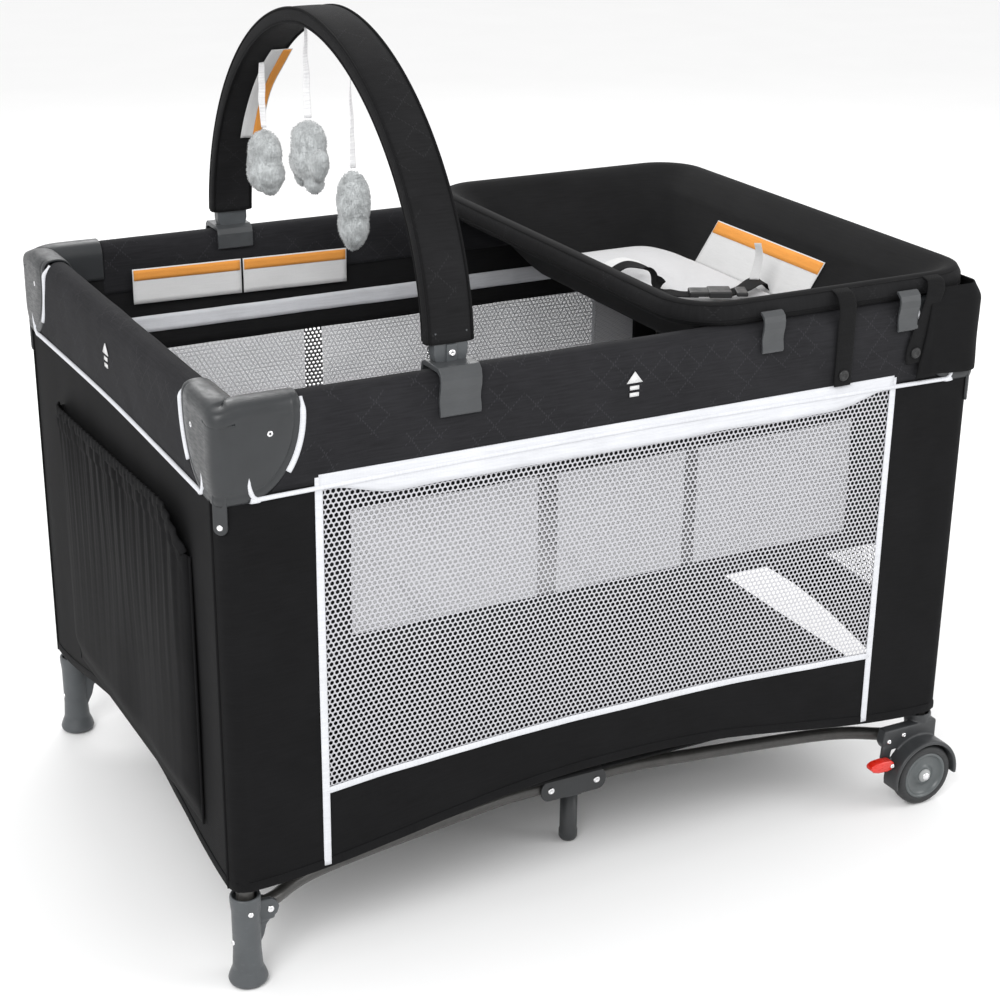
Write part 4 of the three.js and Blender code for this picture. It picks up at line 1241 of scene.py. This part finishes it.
def bag_bottom(side, sy, body):
    def point(u, v):
        x, y = lerp(-BAG_HALF_X, BAG_HALF_X, u), sy * lerp(0.0, BAG_HALF_Y, v)
        return (x, y, BAG_LOW + 0.002 + 0.0012 * ripple(x * 8, y * 8, 5.0))

    made = surface(f"{side}_bag_bottom", point, 60, 24, lining_cloth, thickness=0.0015)
    tidy_normals(made)
    settle(made, body, squash=((1, 0, 0), (-LEG_X, 0, 0), FOLDED_LONG))


bag_bottom("front", -1, "post_front_left")
bag_bottom("back", 1, "post_back_left")


def sewn_label(name, place, body, size, header, squash=None):
    """A blank sewn label: a white panel with an orange band. place(a, b, up) puts it on the cloth."""
    frame_width = 0.0016
    width, height = size
    for part, a0, a1, b0, b1, up, material in (
            ("panel", 0.0, width, 0.0, height, 0.0, label_white),
            ("band", frame_width, width - frame_width, height - header, height - frame_width, 0.0006,
             label_orange)):
        def point(u, v):
            return place(lerp(a0, a1, u), lerp(b0, b1, v), up)
        piece = surface(f"{name}_{part}", point, max(6, int((a1 - a0) * 150)), max(3, int((b1 - b0) * 150)),
                        material, thickness=0.0005)
        tidy_normals(piece)
        settle(piece, body, squash=squash)


back = WALLS["back"]
for letter, x0 in (("a", -0.385), ("b", -0.222)):
    def on_back_wall(a, b, up, x0=x0):
        x = x0 + a
        low = lerp(0.651, 0.646, (x + 0.385) / 0.32)
        return Vector((x, BAG_HALF_Y - 0.0058 - up + 0.0008 * ripple(x * 20, b * 30), low + b))
    sewn_label(f"wall_label_{letter}", on_back_wall, back.body, (0.16, 0.05), 0.0165, back.squash)

# ---------------------------------------------------------------------- floor, mattress


def pad_shape(name, low, high, edge, material, quilt, puff=0.002):
    """A soft board: a rounded slab, fuller in the middle and pressed in where it is quilted."""
    (x0, y0, z0), (x1, y1, z1) = low, high
    cx, cy, cz = (x0 + x1) / 2, (y0 + y1) / 2, (z0 + z1) / 2
    hx, hy, hz = (x1 - x0) / 2, (y1 - y0) / 2, (z1 - z0) / 2
    sides, steps_in = 96, 26

    def ring(share, z):
        points = []
        for i in range(sides):
            a = 2 * math.pi * i / sides
            c, s = math.cos(a), math.sin(a)
            px = cx + hx * share * math.copysign(abs(c) ** 0.32, c)
            py = cy + hy * share * math.copysign(abs(s) ** 0.32, s)
            lift = quilt(px, py) if share < 0.985 else 0.0
            points.append(Vector((px, py, z + math.copysign(lift, z - cz))))
        return points

    rows = []
    steps = [0.02, *[k / steps_in for k in range(1, steps_in)]]
    squeeze = 1 - edge / hx
    for share in steps:
        rows.append(ring(share * squeeze, z0))
    for k in range(7):
        a = -math.pi / 2 + math.pi * k / 6
        rows.append(ring(squeeze + (1 - squeeze) * math.cos(a), cz + hz * math.sin(a)))
    for share in reversed(steps):
        rows.append(ring(share * squeeze, z1 + puff * (1 - share ** 2)))
    made = skin(name, rows, material, wrap_u=True, caps=True)
    tidy_normals(made)
    return made


def floor_cloth(corner):
    """A quarter of the floor, carried by its corner's base arm."""
    sx, sy = corner.sx, corner.sy
    long, wide, height = 0.482, 0.334, 0.1525

    def point(u, v):
        x, y = sx * long * u, sy * wide * v
        return (x, y, height + 0.0014 * ripple(x * 9, y * 9, 3.0))

    made = surface(f"{corner.name}_floor_cloth", point, 36, 26, lining_cloth, thickness=0.004)
    tidy_normals(made)
    settle(made, f"arm_{corner.name}",
           ["floor_panel"] if corner.name == "front_left" else (),
           ((0, 1, 0), (0, sy * LEG_Y, 0), FOLDED_SHORT))


for name in CORNERS:
    floor_cloth(Corner(name))

low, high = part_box("mattress")
for k in range(4):
    width = (high.x - low.x) / 4
    start = low.x + k * width

    def stitch(x, y):
        row = abs(math.sin(math.pi * (y - low.y) / 0.107))
        return 0.0006 * row - 0.0006 + 0.0008 * ripple(x * 14, y * 14, 8.0)

    board = pad_shape(f"mattress_board_{k + 1}", (start + 0.0012, low.y, low.z + 0.001),
                      (start + width - 0.0012, high.y, high.z - 0.0015), 0.009, pale_cloth, stitch)
    settle(board, "mattress", ["mattress"] if k == 0 else ())

# ----------------------------------------------------------------------------- pocket

POCKET_LOW, POCKET_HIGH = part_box("side_pocket")
left_wall = WALLS["left"]
POCKET_S = (-POCKET_HIGH.y, -POCKET_LOW.y)
POCKET_WIDE = POCKET_S[1] - POCKET_S[0]
POCKET_FOOT = 0.182


def pocket_top(s):
    line = lerp(0.559, 0.582, (s - POCKET_S[0]) / POCKET_WIDE)
    near = max(0.0, 1 - (POCKET_S[1] - s) / 0.055)
    return line - 0.05 * near * near


def pocket_fullness(u):
    """0 at the pocket's side seams and 1 away from them."""
    rim = min(1.0, min(u, 1 - u) / 0.07)
    return math.sqrt(max(0.0, 1 - (1 - rim) ** 2))


def fine_gathers(s):
    return math.sin(s * 2 * math.pi / 0.0137 + 3 * ripple(s * 14, 2.0, 6.0))


def side_pocket():
    """A gathered pocket with an elastic top, sewn down at its sides and foot."""
    def point(u, v):
        s = lerp(POCKET_S[0], POCKET_S[1], u)
        top = pocket_top(s)
        z = lerp(POCKET_FOOT, top, v)
        full = pocket_fullness(u) * ease((z - POCKET_FOOT) / 0.05)
        gathers = math.sin(s * 2 * math.pi / 0.031 + 2.2 * ripple(s * 9, 1.0, 6.0)) + 0.6 * fine_gathers(s)
        fall = math.exp(-(top - z) / 0.09)
        slack = 0.0035 * ripple(s * 11, z * 5, 2.5) * (1 - fall)
        out = 0.003 + full * (0.0125 + 0.0022 * gathers * fall + slack)
        if fall > 0.75:
            out += 0.0018 * full
        return left_wall.at(s, z, SKIN + out)

    made = surface("side_pocket_front", point, 150, 70, black_cloth, thickness=0.0012)
    left_wall.keep(made, "black_fabric", ["side_pocket"])
    lip = []
    for k in range(121):
        s = lerp(POCKET_S[0] + 0.003, POCKET_S[1] - 0.003, k / 120)
        full = pocket_fullness((s - POCKET_S[0]) / POCKET_WIDE)
        out = 0.0035 + full * (0.0138 + 0.0012 * fine_gathers(s))
        lip.append(left_wall.at(s, pocket_top(s) - 0.001, SKIN + out))
    hem_piece = sweep("side_pocket_elastic", lip, oval(0.014, 0.0045, 14, 3), (0, 0, 1), black_cloth)
    left_wall.keep(hem_piece, "black_fabric")
    for letter, s in (("a", POCKET_S[0]), ("b", POCKET_S[1])):
        seam = [left_wall.at(s, lerp(POCKET_FOOT, pocket_top(s), k / 40), SKIN + 0.003) for k in range(41)]
        piece = tube(f"side_pocket_seam_{letter}", seam, 0.0017, black_cloth, 10)
        left_wall.keep(piece, "black_fabric")


side_pocket()

# ---------------------------------------------------------------------------- toy bar

BAR_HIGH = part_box("toy_bar")[1]
BAR_FOOT = 0.76
BAR_HALF, BAR_RISE = BAR_HIGH.y - 0.009, BAR_HIGH.z - BAR_FOOT - 0.009  # to the middle of its thickness


def arch(t, depth=0.0):
    """A point on the bar's middle line, from the front foot at t=0 to the back one at t=1."""
    a = math.pi * t
    c, s = math.cos(a), math.sin(a)
    power = 2 / 1.85
    y = -(BAR_HALF + depth) * math.copysign(abs(c) ** power, c)
    return Vector((BAR_X, y, BAR_FOOT + (BAR_RISE + depth) * abs(s) ** power))


def arch_path(depth, lowest, count, start=0.0, end=1.0):
    """Evenly spaced points along the bar, from `lowest` up and down again."""
    fine = [arch(k / 1200, depth) for k in range(1201)]
    fine = [p for p in fine if p.z >= lowest]
    return evenly(fine, [lerp(start, end, i / count) for i in range(count + 1)])


def toy_bar():
    path = arch_path(0.0, 0.7665, 150)
    outline = oval(0.058, 0.0205, 36, 4.2)

    def plump(t):
        return 1.0 + 0.012 * ripple(t * 14, 3.0) + (0.02 if min(t, 1 - t) < 0.012 else 0.0)

    made = sweep("toy_bar_sleeve", path, outline, (1, 0, 0), padded_cloth, size=plump)
    tidy_normals(made)
    settle(made, "toy_bar", ["toy_bar"])
    for letter, side in (("a", -1), ("b", 1)):
        for where, depth in (("outer", 0.0088), ("inner", -0.0088)):
            seam = [p + Vector((side * 0.0272, 0, 0)) for p in arch_path(depth, 0.768, 140)]
            piece = tube(f"toy_bar_seam_{letter}_{where}", seam, 0.0016, black_cloth, 8)
            settle(piece, "toy_bar")


toy_bar()


def bar_label():
    """The blank strip sewn into the seam of the bar's back leg."""
    size, steps = (0.235, 0.03), 60
    path = arch_path(-0.0112, 0.768, steps, 0.69, 0.885)

    def edge(a, b, up):
        run = min(0.999, max(0.0, a / size[0])) * steps
        k = int(run)
        p = path[k].lerp(path[k + 1], run - k)
        out = (path[min(k + 2, steps)] - path[max(k - 1, 0)]).normalized().cross(Vector((1, 0, 0)))
        curl = 0.004 * math.sin(a * 34) * (b / size[1])
        return p + Vector((0.003 + b, 0, 0)) + out * (0.0012 + up + curl * 0.5)

    sewn_label("bar_label", edge, "toy_bar", size, 0.013)


bar_label()


def bar_clamp(side, sy):
    """The clamp over the rail: an S-shaped jaw and the tongue that holds the bar's end."""
    y = lambda out: sy * (LEG_Y + out)
    jaw = [(0.0238, 0.6905), (0.0252, 0.6895), (0.0272, 0.6925), (0.0262, 0.7000), (0.0246, 0.7070),
           (0.0252, 0.7150), (0.0276, 0.7230), (0.0280, 0.7330), (0.0262, 0.7415), (0.0205, 0.7470),
           (-0.0160, 0.7470), (-0.0228, 0.7430), (-0.0255, 0.7360), (-0.0255, 0.7160), (-0.0232, 0.7140),
           (-0.0214, 0.7160), (-0.0214, 0.7340), (-0.0190, 0.7405), (0.0180, 0.7405), (0.0232, 0.7370),
           (0.0242, 0.7320), (0.0236, 0.7250), (0.0214, 0.7160), (0.0208, 0.7070), (0.0224, 0.6980)]
    outline = [(y(out), z) for out, z in jaw]
    made = prism(f"{side}_clamp_jaw", outline, "x", BAR_X - 0.026, BAR_X + 0.026, hook_plastic, 0.0009)
    settle(made, "toy_bar_clamps", [f"toy_bar_clamp_{side}"])
    half = [(0.0215, 0.782), (0.0215, 0.7550), (0.0195, 0.7475), (0.0145, 0.7425)]
    tongue = [(BAR_X - 0.0215, 0.782), *[(BAR_X + u, z) for u, z in half],
              *[(BAR_X - u, z) for u, z in reversed(half[1:])]]
    ends = sorted((y(-0.0155), y(0.0005)))
    plate = prism(f"{side}_clamp_tongue", tongue, "y", *ends, grey_plastic, 0.0016)
    settle(plate, "toy_bar_clamps")
    front, rear = sorted((y(0.0002), y(0.0028)))
    ridge = prism(f"{side}_clamp_ridge", [(BAR_X - 0.0065, 0.744), (BAR_X + 0.0065, 0.744),
                                          (BAR_X + 0.0065, 0.7665), (BAR_X - 0.0065, 0.7665)], "y",
                  front, rear, grey_plastic, 0.0012)
    settle(ridge, "toy_bar_clamps")
    screw(f"{side}_clamp_rivet", (BAR_X, y(0.003), 0.7565), (0, sy, 0), "toy_bar_clamps", 0.0046)


bar_clamp("front", -1)
bar_clamp("back", 1)

# --------------------------------------------------------------------------- plush toys


def tufts(name, body, count, length, seed):
    """Short locks of pile standing off the body's surface."""
    chance = random.Random(seed)
    mesh = body.data
    areas = [polygon.area for polygon in mesh.polygons]
    chosen = chance.choices(range(len(areas)), weights=areas, k=count)
    points, faces = [], []
    for index in chosen:
        polygon = mesh.polygons[index]
        normal = Vector(polygon.normal)
        lean = Vector((chance.uniform(-0.7, 0.7), chance.uniform(-0.7, 0.7), chance.uniform(-1.1, 0.2)))
        grow = (normal + lean * 0.55).normalized() * length * chance.uniform(0.6, 1.25)
        side = normal.orthogonal().normalized()
        side = (Matrix.Rotation(chance.uniform(0, 6.28), 3, normal) @ side) * length * 0.3
        other = normal.cross(side)
        at = Vector(polygon.center) - normal * 0.0006
        start = len(points)
        points += [at + side, at - side * 0.5 + other * 0.86, at - side * 0.5 - other * 0.86, at + grow]
        faces += [(start + i, start + (i + 1) % 3, start + 3) for i in range(3)]
    return piece_from(name, points, faces, plush)


def plush_toy(name, lumps, seed):
    """A soft toy melted from lumps: each is where it sits, its three radii and its turn."""
    node = f"plush_toy_{name}"
    parts = []
    for k, (dx, dy, dz, rx, ry, rz, turn) in enumerate(lumps):
        parts.append(ball(f"lump_{k}", middle(node) + Vector((dx, dy, dz)), (rx, ry, rz), plush, turn))
    made = fused(f"{name}_plush_body", parts, 0.0022, 9)
    settle(made, f"toy_{name}", [node])
    fur = tufts(f"{name}_plush_tufts", made, 3200, 0.0026, seed)
    settle(fur, f"toy_{name}")


# left: a rounded body with a side fin and two small feet
plush_toy("left", [
    (0, 0, 0.012, 0.022, 0.027, 0.031, 0), (0, -0.002, -0.014, 0.024, 0.033, 0.026, 0),
    (0, 0.036, -0.007, 0.011, 0.018, 0.0105, -0.25), (0, -0.017, -0.03, 0.012, 0.012, 0.0115, 0),
    (0, 0.014, -0.031, 0.012, 0.011, 0.0105, 0),
], 11)
# middle: a body with a rounded back, an arm and two legs
plush_toy("middle", [
    (0, 0, 0.019, 0.022, 0.026, 0.028, 0), (0, 0.001, -0.004, 0.023, 0.034, 0.026, 0),
    (0, 0.031, 0.024, 0.010, 0.014, 0.009, 0.4), (0, -0.034, -0.003, 0.012, 0.012, 0.022, 0.25),
    (0, 0.017, -0.025, 0.013, 0.0125, 0.0155, 0), (0, -0.016, -0.028, 0.013, 0.0125, 0.0155, 0),
], 12)
# right: a long oval that narrows to a small tail
plush_toy("right", [
    (0, 0, 0.016, 0.020, 0.0235, 0.037, 0), (0, 0.001, -0.013, 0.018, 0.0215, 0.029, 0),
    (0, 0.004, -0.036, 0.0105, 0.0105, 0.0105, 0),
], 13)

# ---------------------------------------------------------------------- changing table

RIM_LOW, RIM_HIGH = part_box("changer_rim")
RIM_R = (RIM_HIGH.z - RIM_LOW.z) / 2
RIM_Z = (RIM_HIGH.z + RIM_LOW.z) / 2
RIM_X0, RIM_X1, RIM_Y = RIM_LOW.x + RIM_R, RIM_HIGH.x - RIM_R, RIM_HIGH.y - RIM_R
RIM_BEND = 0.062
# The tray's slope, at its top and foot: x from, x to, half its width in y, corner radius and z.
SLOPE_TOP = (0.124, 0.478, 0.3225, 0.043, 0.7465)
SLOPE_FOOT = (0.202, 0.418, 0.2545, 0.034, 0.6545)


def round_rectangle(x0, x1, half_y, radius, count):
    """count points round a rectangle with rounded corners, evenly spaced."""
    corners = [Vector((x, y, 0)) for x, y in round_corners(x0, x1, -half_y, half_y, radius, 24)]
    return evenly(corners, [i / count for i in range(count)], closed=True)


def changer_rim():
    path = [p + Vector((0, 0, RIM_Z + 0.0008 * ripple(p.x * 9, p.y * 9)))
            for p in round_rectangle(RIM_X0, RIM_X1, RIM_Y, RIM_BEND, 260)]
    made = sweep("changer_rim_sleeve", path, oval(2 * RIM_R + 0.002, 2 * RIM_R, 28, 2.2), (0.02, 0.01, 1),
                 padded_cloth, closed=True)
    tidy_normals(made)
    settle(made, "changer", ["changer_rim", "changer_edge_band"])
    for letter, grow, height in (("a", -0.0115, -0.009), ("b", 0.0135, -0.006)):
        line = [p + Vector((0, 0, RIM_Z + height)) for p in
                round_rectangle(RIM_X0 - grow, RIM_X1 + grow, RIM_Y + grow, RIM_BEND + grow, 220)]
        piping = tube(f"changer_rim_seam_{letter}", line, 0.0014, black_cloth, 8, closed=True)
        settle(piping, "changer")


changer_rim()


def changer_tray():
    """The cloth tray: over the rim tube, down a slope on each side, and across the bottom."""
    middle_x = 0.31
    rings = []
    for grow, rise in ((0.0085, 0.0125), (0.002, 0.0153), (-0.0075, 0.0132), (-0.0185, 0.005)):
        rings.append((RIM_X0 - grow, RIM_X1 + grow, RIM_Y + grow, RIM_BEND + grow, RIM_Z + rise))
    for k in range(1, 13):
        rings.append(tuple(lerp(a, b, k / 13) for a, b in zip(SLOPE_TOP, SLOPE_FOOT)))
    rings += [(0.206, 0.414, 0.2505, 0.032, 0.6525), (0.222, 0.398, 0.235, 0.03, 0.6520),
              (0.28, 0.34, 0.1, 0.02, 0.6520), (0.3095, 0.3105, 0.001, 0.0004, 0.6520)]
    rows = []
    for k, (x0, x1, half_y, radius, z) in enumerate(rings):
        slope = math.sin(math.pi * min(1.0, max(0.0, (k - 3) / 13)))
        row = []
        for p in round_rectangle(x0, x1, half_y, radius, 240):
            seam = 0.0
            for sx, sy in ((1, 1), (1, -1), (-1, 1), (-1, -1)):
                away = math.hypot(p.x - (middle_x + sx * (x1 - x0) / 2), p.y - sy * half_y)
                seam += math.exp(-((away - radius * 0.62) / 0.004) ** 2)
            puff = slope * (0.0022 * ripple(p.x * 11, p.y * 11, z * 14) - 0.0012 * min(1.0, seam))
            row.append(Vector((p.x, p.y, z + puff)))
        rows.append(row)
    made = skin("changer_tray_cloth", rows, lining_cloth, wrap_u=True, caps=False, thickness=0.002)
    tidy_normals(made)
    settle(made, "changer", ["changer_tray"])


changer_tray()


def quilted(x, y):
    return 0.0008 * ripple(x * 15, y * 15, 4.0)


low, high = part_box("changer_pad")
pad = pad_shape("changer_pad_cushion", (low.x, low.y, low.z + 0.0005), (high.x, high.y, high.z - 0.002),
                0.012, pale_cloth, quilted, puff=0.003)
settle(pad, "changer", ["changer_pad"])


def flat_strap(name, points, width, thick, across, material=None, count=60):
    """A strap of the changing table, through the points."""
    path = smooth_path(points, count)
    made = sweep(name, path, oval(width, thick, 12, 4), across, material or webbing)
    tidy_normals(made)
    return settle(made, "changer")


def strap_sheet(points):
    run = lengths(smooth_path(points, 200), False)[-1]


def belt():
    left = [(0.208, 0.058, 0.672), (0.218, 0.052, 0.69), (0.24, 0.04, 0.706), (0.257, 0.01, 0.704),
            (0.256, -0.014, 0.692), (0.252, -0.036, 0.688), (0.262, -0.06, 0.687), (0.286, -0.076, 0.687)]
    right = [(0.318, -0.091, 0.687), (0.35, -0.087, 0.69), (0.384, -0.065, 0.69), (0.41, -0.046, 0.684),
             (0.424, -0.036, 0.672)]
    for name, points in (("left", left), ("right", right)):
        made = flat_strap(f"belt_{name}", points, 0.0245, 0.0018, (0.15, 1, 0.05))
        strap_sheet(points)
    turn = Matrix.Translation((0.299, -0.082, 0.6905)) @ Matrix.Rotation(-0.44, 4, "Z")
    for name, x0, x1, half, low_z, high_z in (("socket", -0.002, 0.03, 0.0165, -0.0045, 0.0045),
                                              ("plug", -0.028, 0.0, 0.0135, -0.0035, 0.0035),
                                              ("slide", 0.036, 0.052, 0.0165, -0.0025, 0.0035)):
        piece = block(f"belt_buckle_{name}", (x0, -half, low_z), (x1, half, high_z), buckle_plastic, 0.002)
        piece.data.transform(turn)
        settle(piece, "changer")
    for letter, points in (("a", [(0.216, 0.07, 0.684), (0.232, 0.078, 0.696), (0.262, 0.082, 0.7),
                                  (0.292, 0.08, 0.692)]),
                           ("b", [(0.384, -0.066, 0.694), (0.391, -0.062, 0.709), (0.396, -0.058, 0.726),
                                  (0.395, -0.054, 0.742)])):
        tag = flat_strap(f"belt_tag_{letter}", points, 0.022, 0.001, (0.1, 1, 0.1), label_white,
                         24)
        strap_sheet(points)


belt()


def on_slope(a, b, up):
    """On the tray's right slope: a runs to the front, b up the slope."""
    t = 0.07 + b / 0.105
    x, z = lerp(SLOPE_FOOT[1], SLOPE_TOP[1], t), lerp(SLOPE_FOOT[4], SLOPE_TOP[4], t)
    lift = 0.003 + up + 0.001 * ripple(a * 16, b * 16, 9.0)
    return Vector((x - lift * 0.832, 0.14 - a, z + lift * 0.554))


sewn_label("slope_label", on_slope, "changer", (0.265, 0.07), 0.019)


def corner_flap(side, sy):
    """The cloth corner that hangs from the rim over the cap at the wheeled end."""
    stand = 0.0268
    front_run, side_run = 0.084, 0.075
    arc = stand * math.pi / 2

    def around(t, out):
        d = t * (front_run + arc + side_run)
        if d < front_run:
            return LEG_X - front_run + d, -LEG_Y - out
        if d < front_run + arc:
            a = (d - front_run) / stand
            return LEG_X + out * math.sin(a), -LEG_Y - out * math.cos(a)
        return LEG_X + out, -LEG_Y + (d - front_run - arc)

    def point(u, v):
        lean = 0.028 * (1 - v) ** 1.5 * max(0.0, 1 - u / 0.12)
        low_edge = 0.6375 + 0.004 * ripple(u * 3, 1.0, sy)
        z = lerp(low_edge, 0.752, v)
        top_in = 0.012 * ease((z - 0.73) / 0.03)
        x, y = around(u, stand - top_in + 0.0014 * ripple(u * 7, v * 3, sy + 3) * (1 - v))
        return Vector((x + (0.03 - lean) * (1 - ease(u / 0.14)) * 0.6, -sy * y, z))

    made = surface(f"{side}_corner_flap", point, 70, 30, black_cloth, thickness=0.0014)
    tidy_normals(made)
    settle(made, "changer")


def snap(name, place, normal):
    profile = [(0.0002, 0.0018), (0.0028, 0.0018), (0.0034, 0.0026), (0.0062, 0.0022), (0.0074, 0.0006),
               (0.0074, -0.001), (0.0002, -0.001)]
    return settle(lathe(name, profile, place, normal, buckle_plastic, 28), "changer")


def snap_strap(side, sy, letter, x, low_z, lean=0.0):
    out = lambda away: sy * (LEG_Y + away)
    points = [(x + lean, out(0.0045), 0.7655), (x + lean, out(0.0165), 0.7615),
              (x + lean * 0.8, out(0.0245), 0.748), (x + lean * 0.5, out(0.0248), 0.72),
              (x, out(0.0246), low_z + 0.02), (x, out(0.0245), low_z)]
    name = f"{side}_snap_strap_{letter}"
    made = flat_strap(name, points, 0.026, 0.0022, (1, 0, 0))
    strap_sheet(points)
    snap(f"{name}_button", (x, out(0.0262), low_z + 0.014), (0, sy, 0))


for side, sy in (("front", -1), ("back", 1)):
    corner_flap(side, sy)
    snap_strap(side, sy, "a", 0.305, 0.645)
    snap_strap(side, sy, "b", 0.417, 0.659, 0.03)


def changer_clip(name, x):
    """A hook over the yard's rail cover that the rim tube rests in."""
    profile = [(0.0228, 0.7045), (0.0246, 0.7035), (0.0262, 0.7065), (0.0252, 0.7130), (0.0240, 0.7190),
               (0.0246, 0.7260), (0.0266, 0.7340), (0.0270, 0.7430), (0.0250, 0.7500), (0.0195, 0.7545),
               (0.0160, 0.7552), (0.0156, 0.7522), (0.0186, 0.7505), (0.0226, 0.7460), (0.0238, 0.7400),
               (0.0230, 0.7330), (0.0216, 0.7260), (0.0214, 0.7190), (0.0222, 0.7110)]
    outline = [(-(LEG_Y + out), z) for out, z in profile]
    made = prism(f"changer_hook_{name}", outline, "x", x - 0.0155, x + 0.0155, hook_plastic, 0.0007)
    settle(made, "changer_clips", [f"changer_clip_{name}"])


changer_clip("inner", middle("changer_clip_inner").x)
changer_clip("outer", middle("changer_clip_outer").x + 0.006)
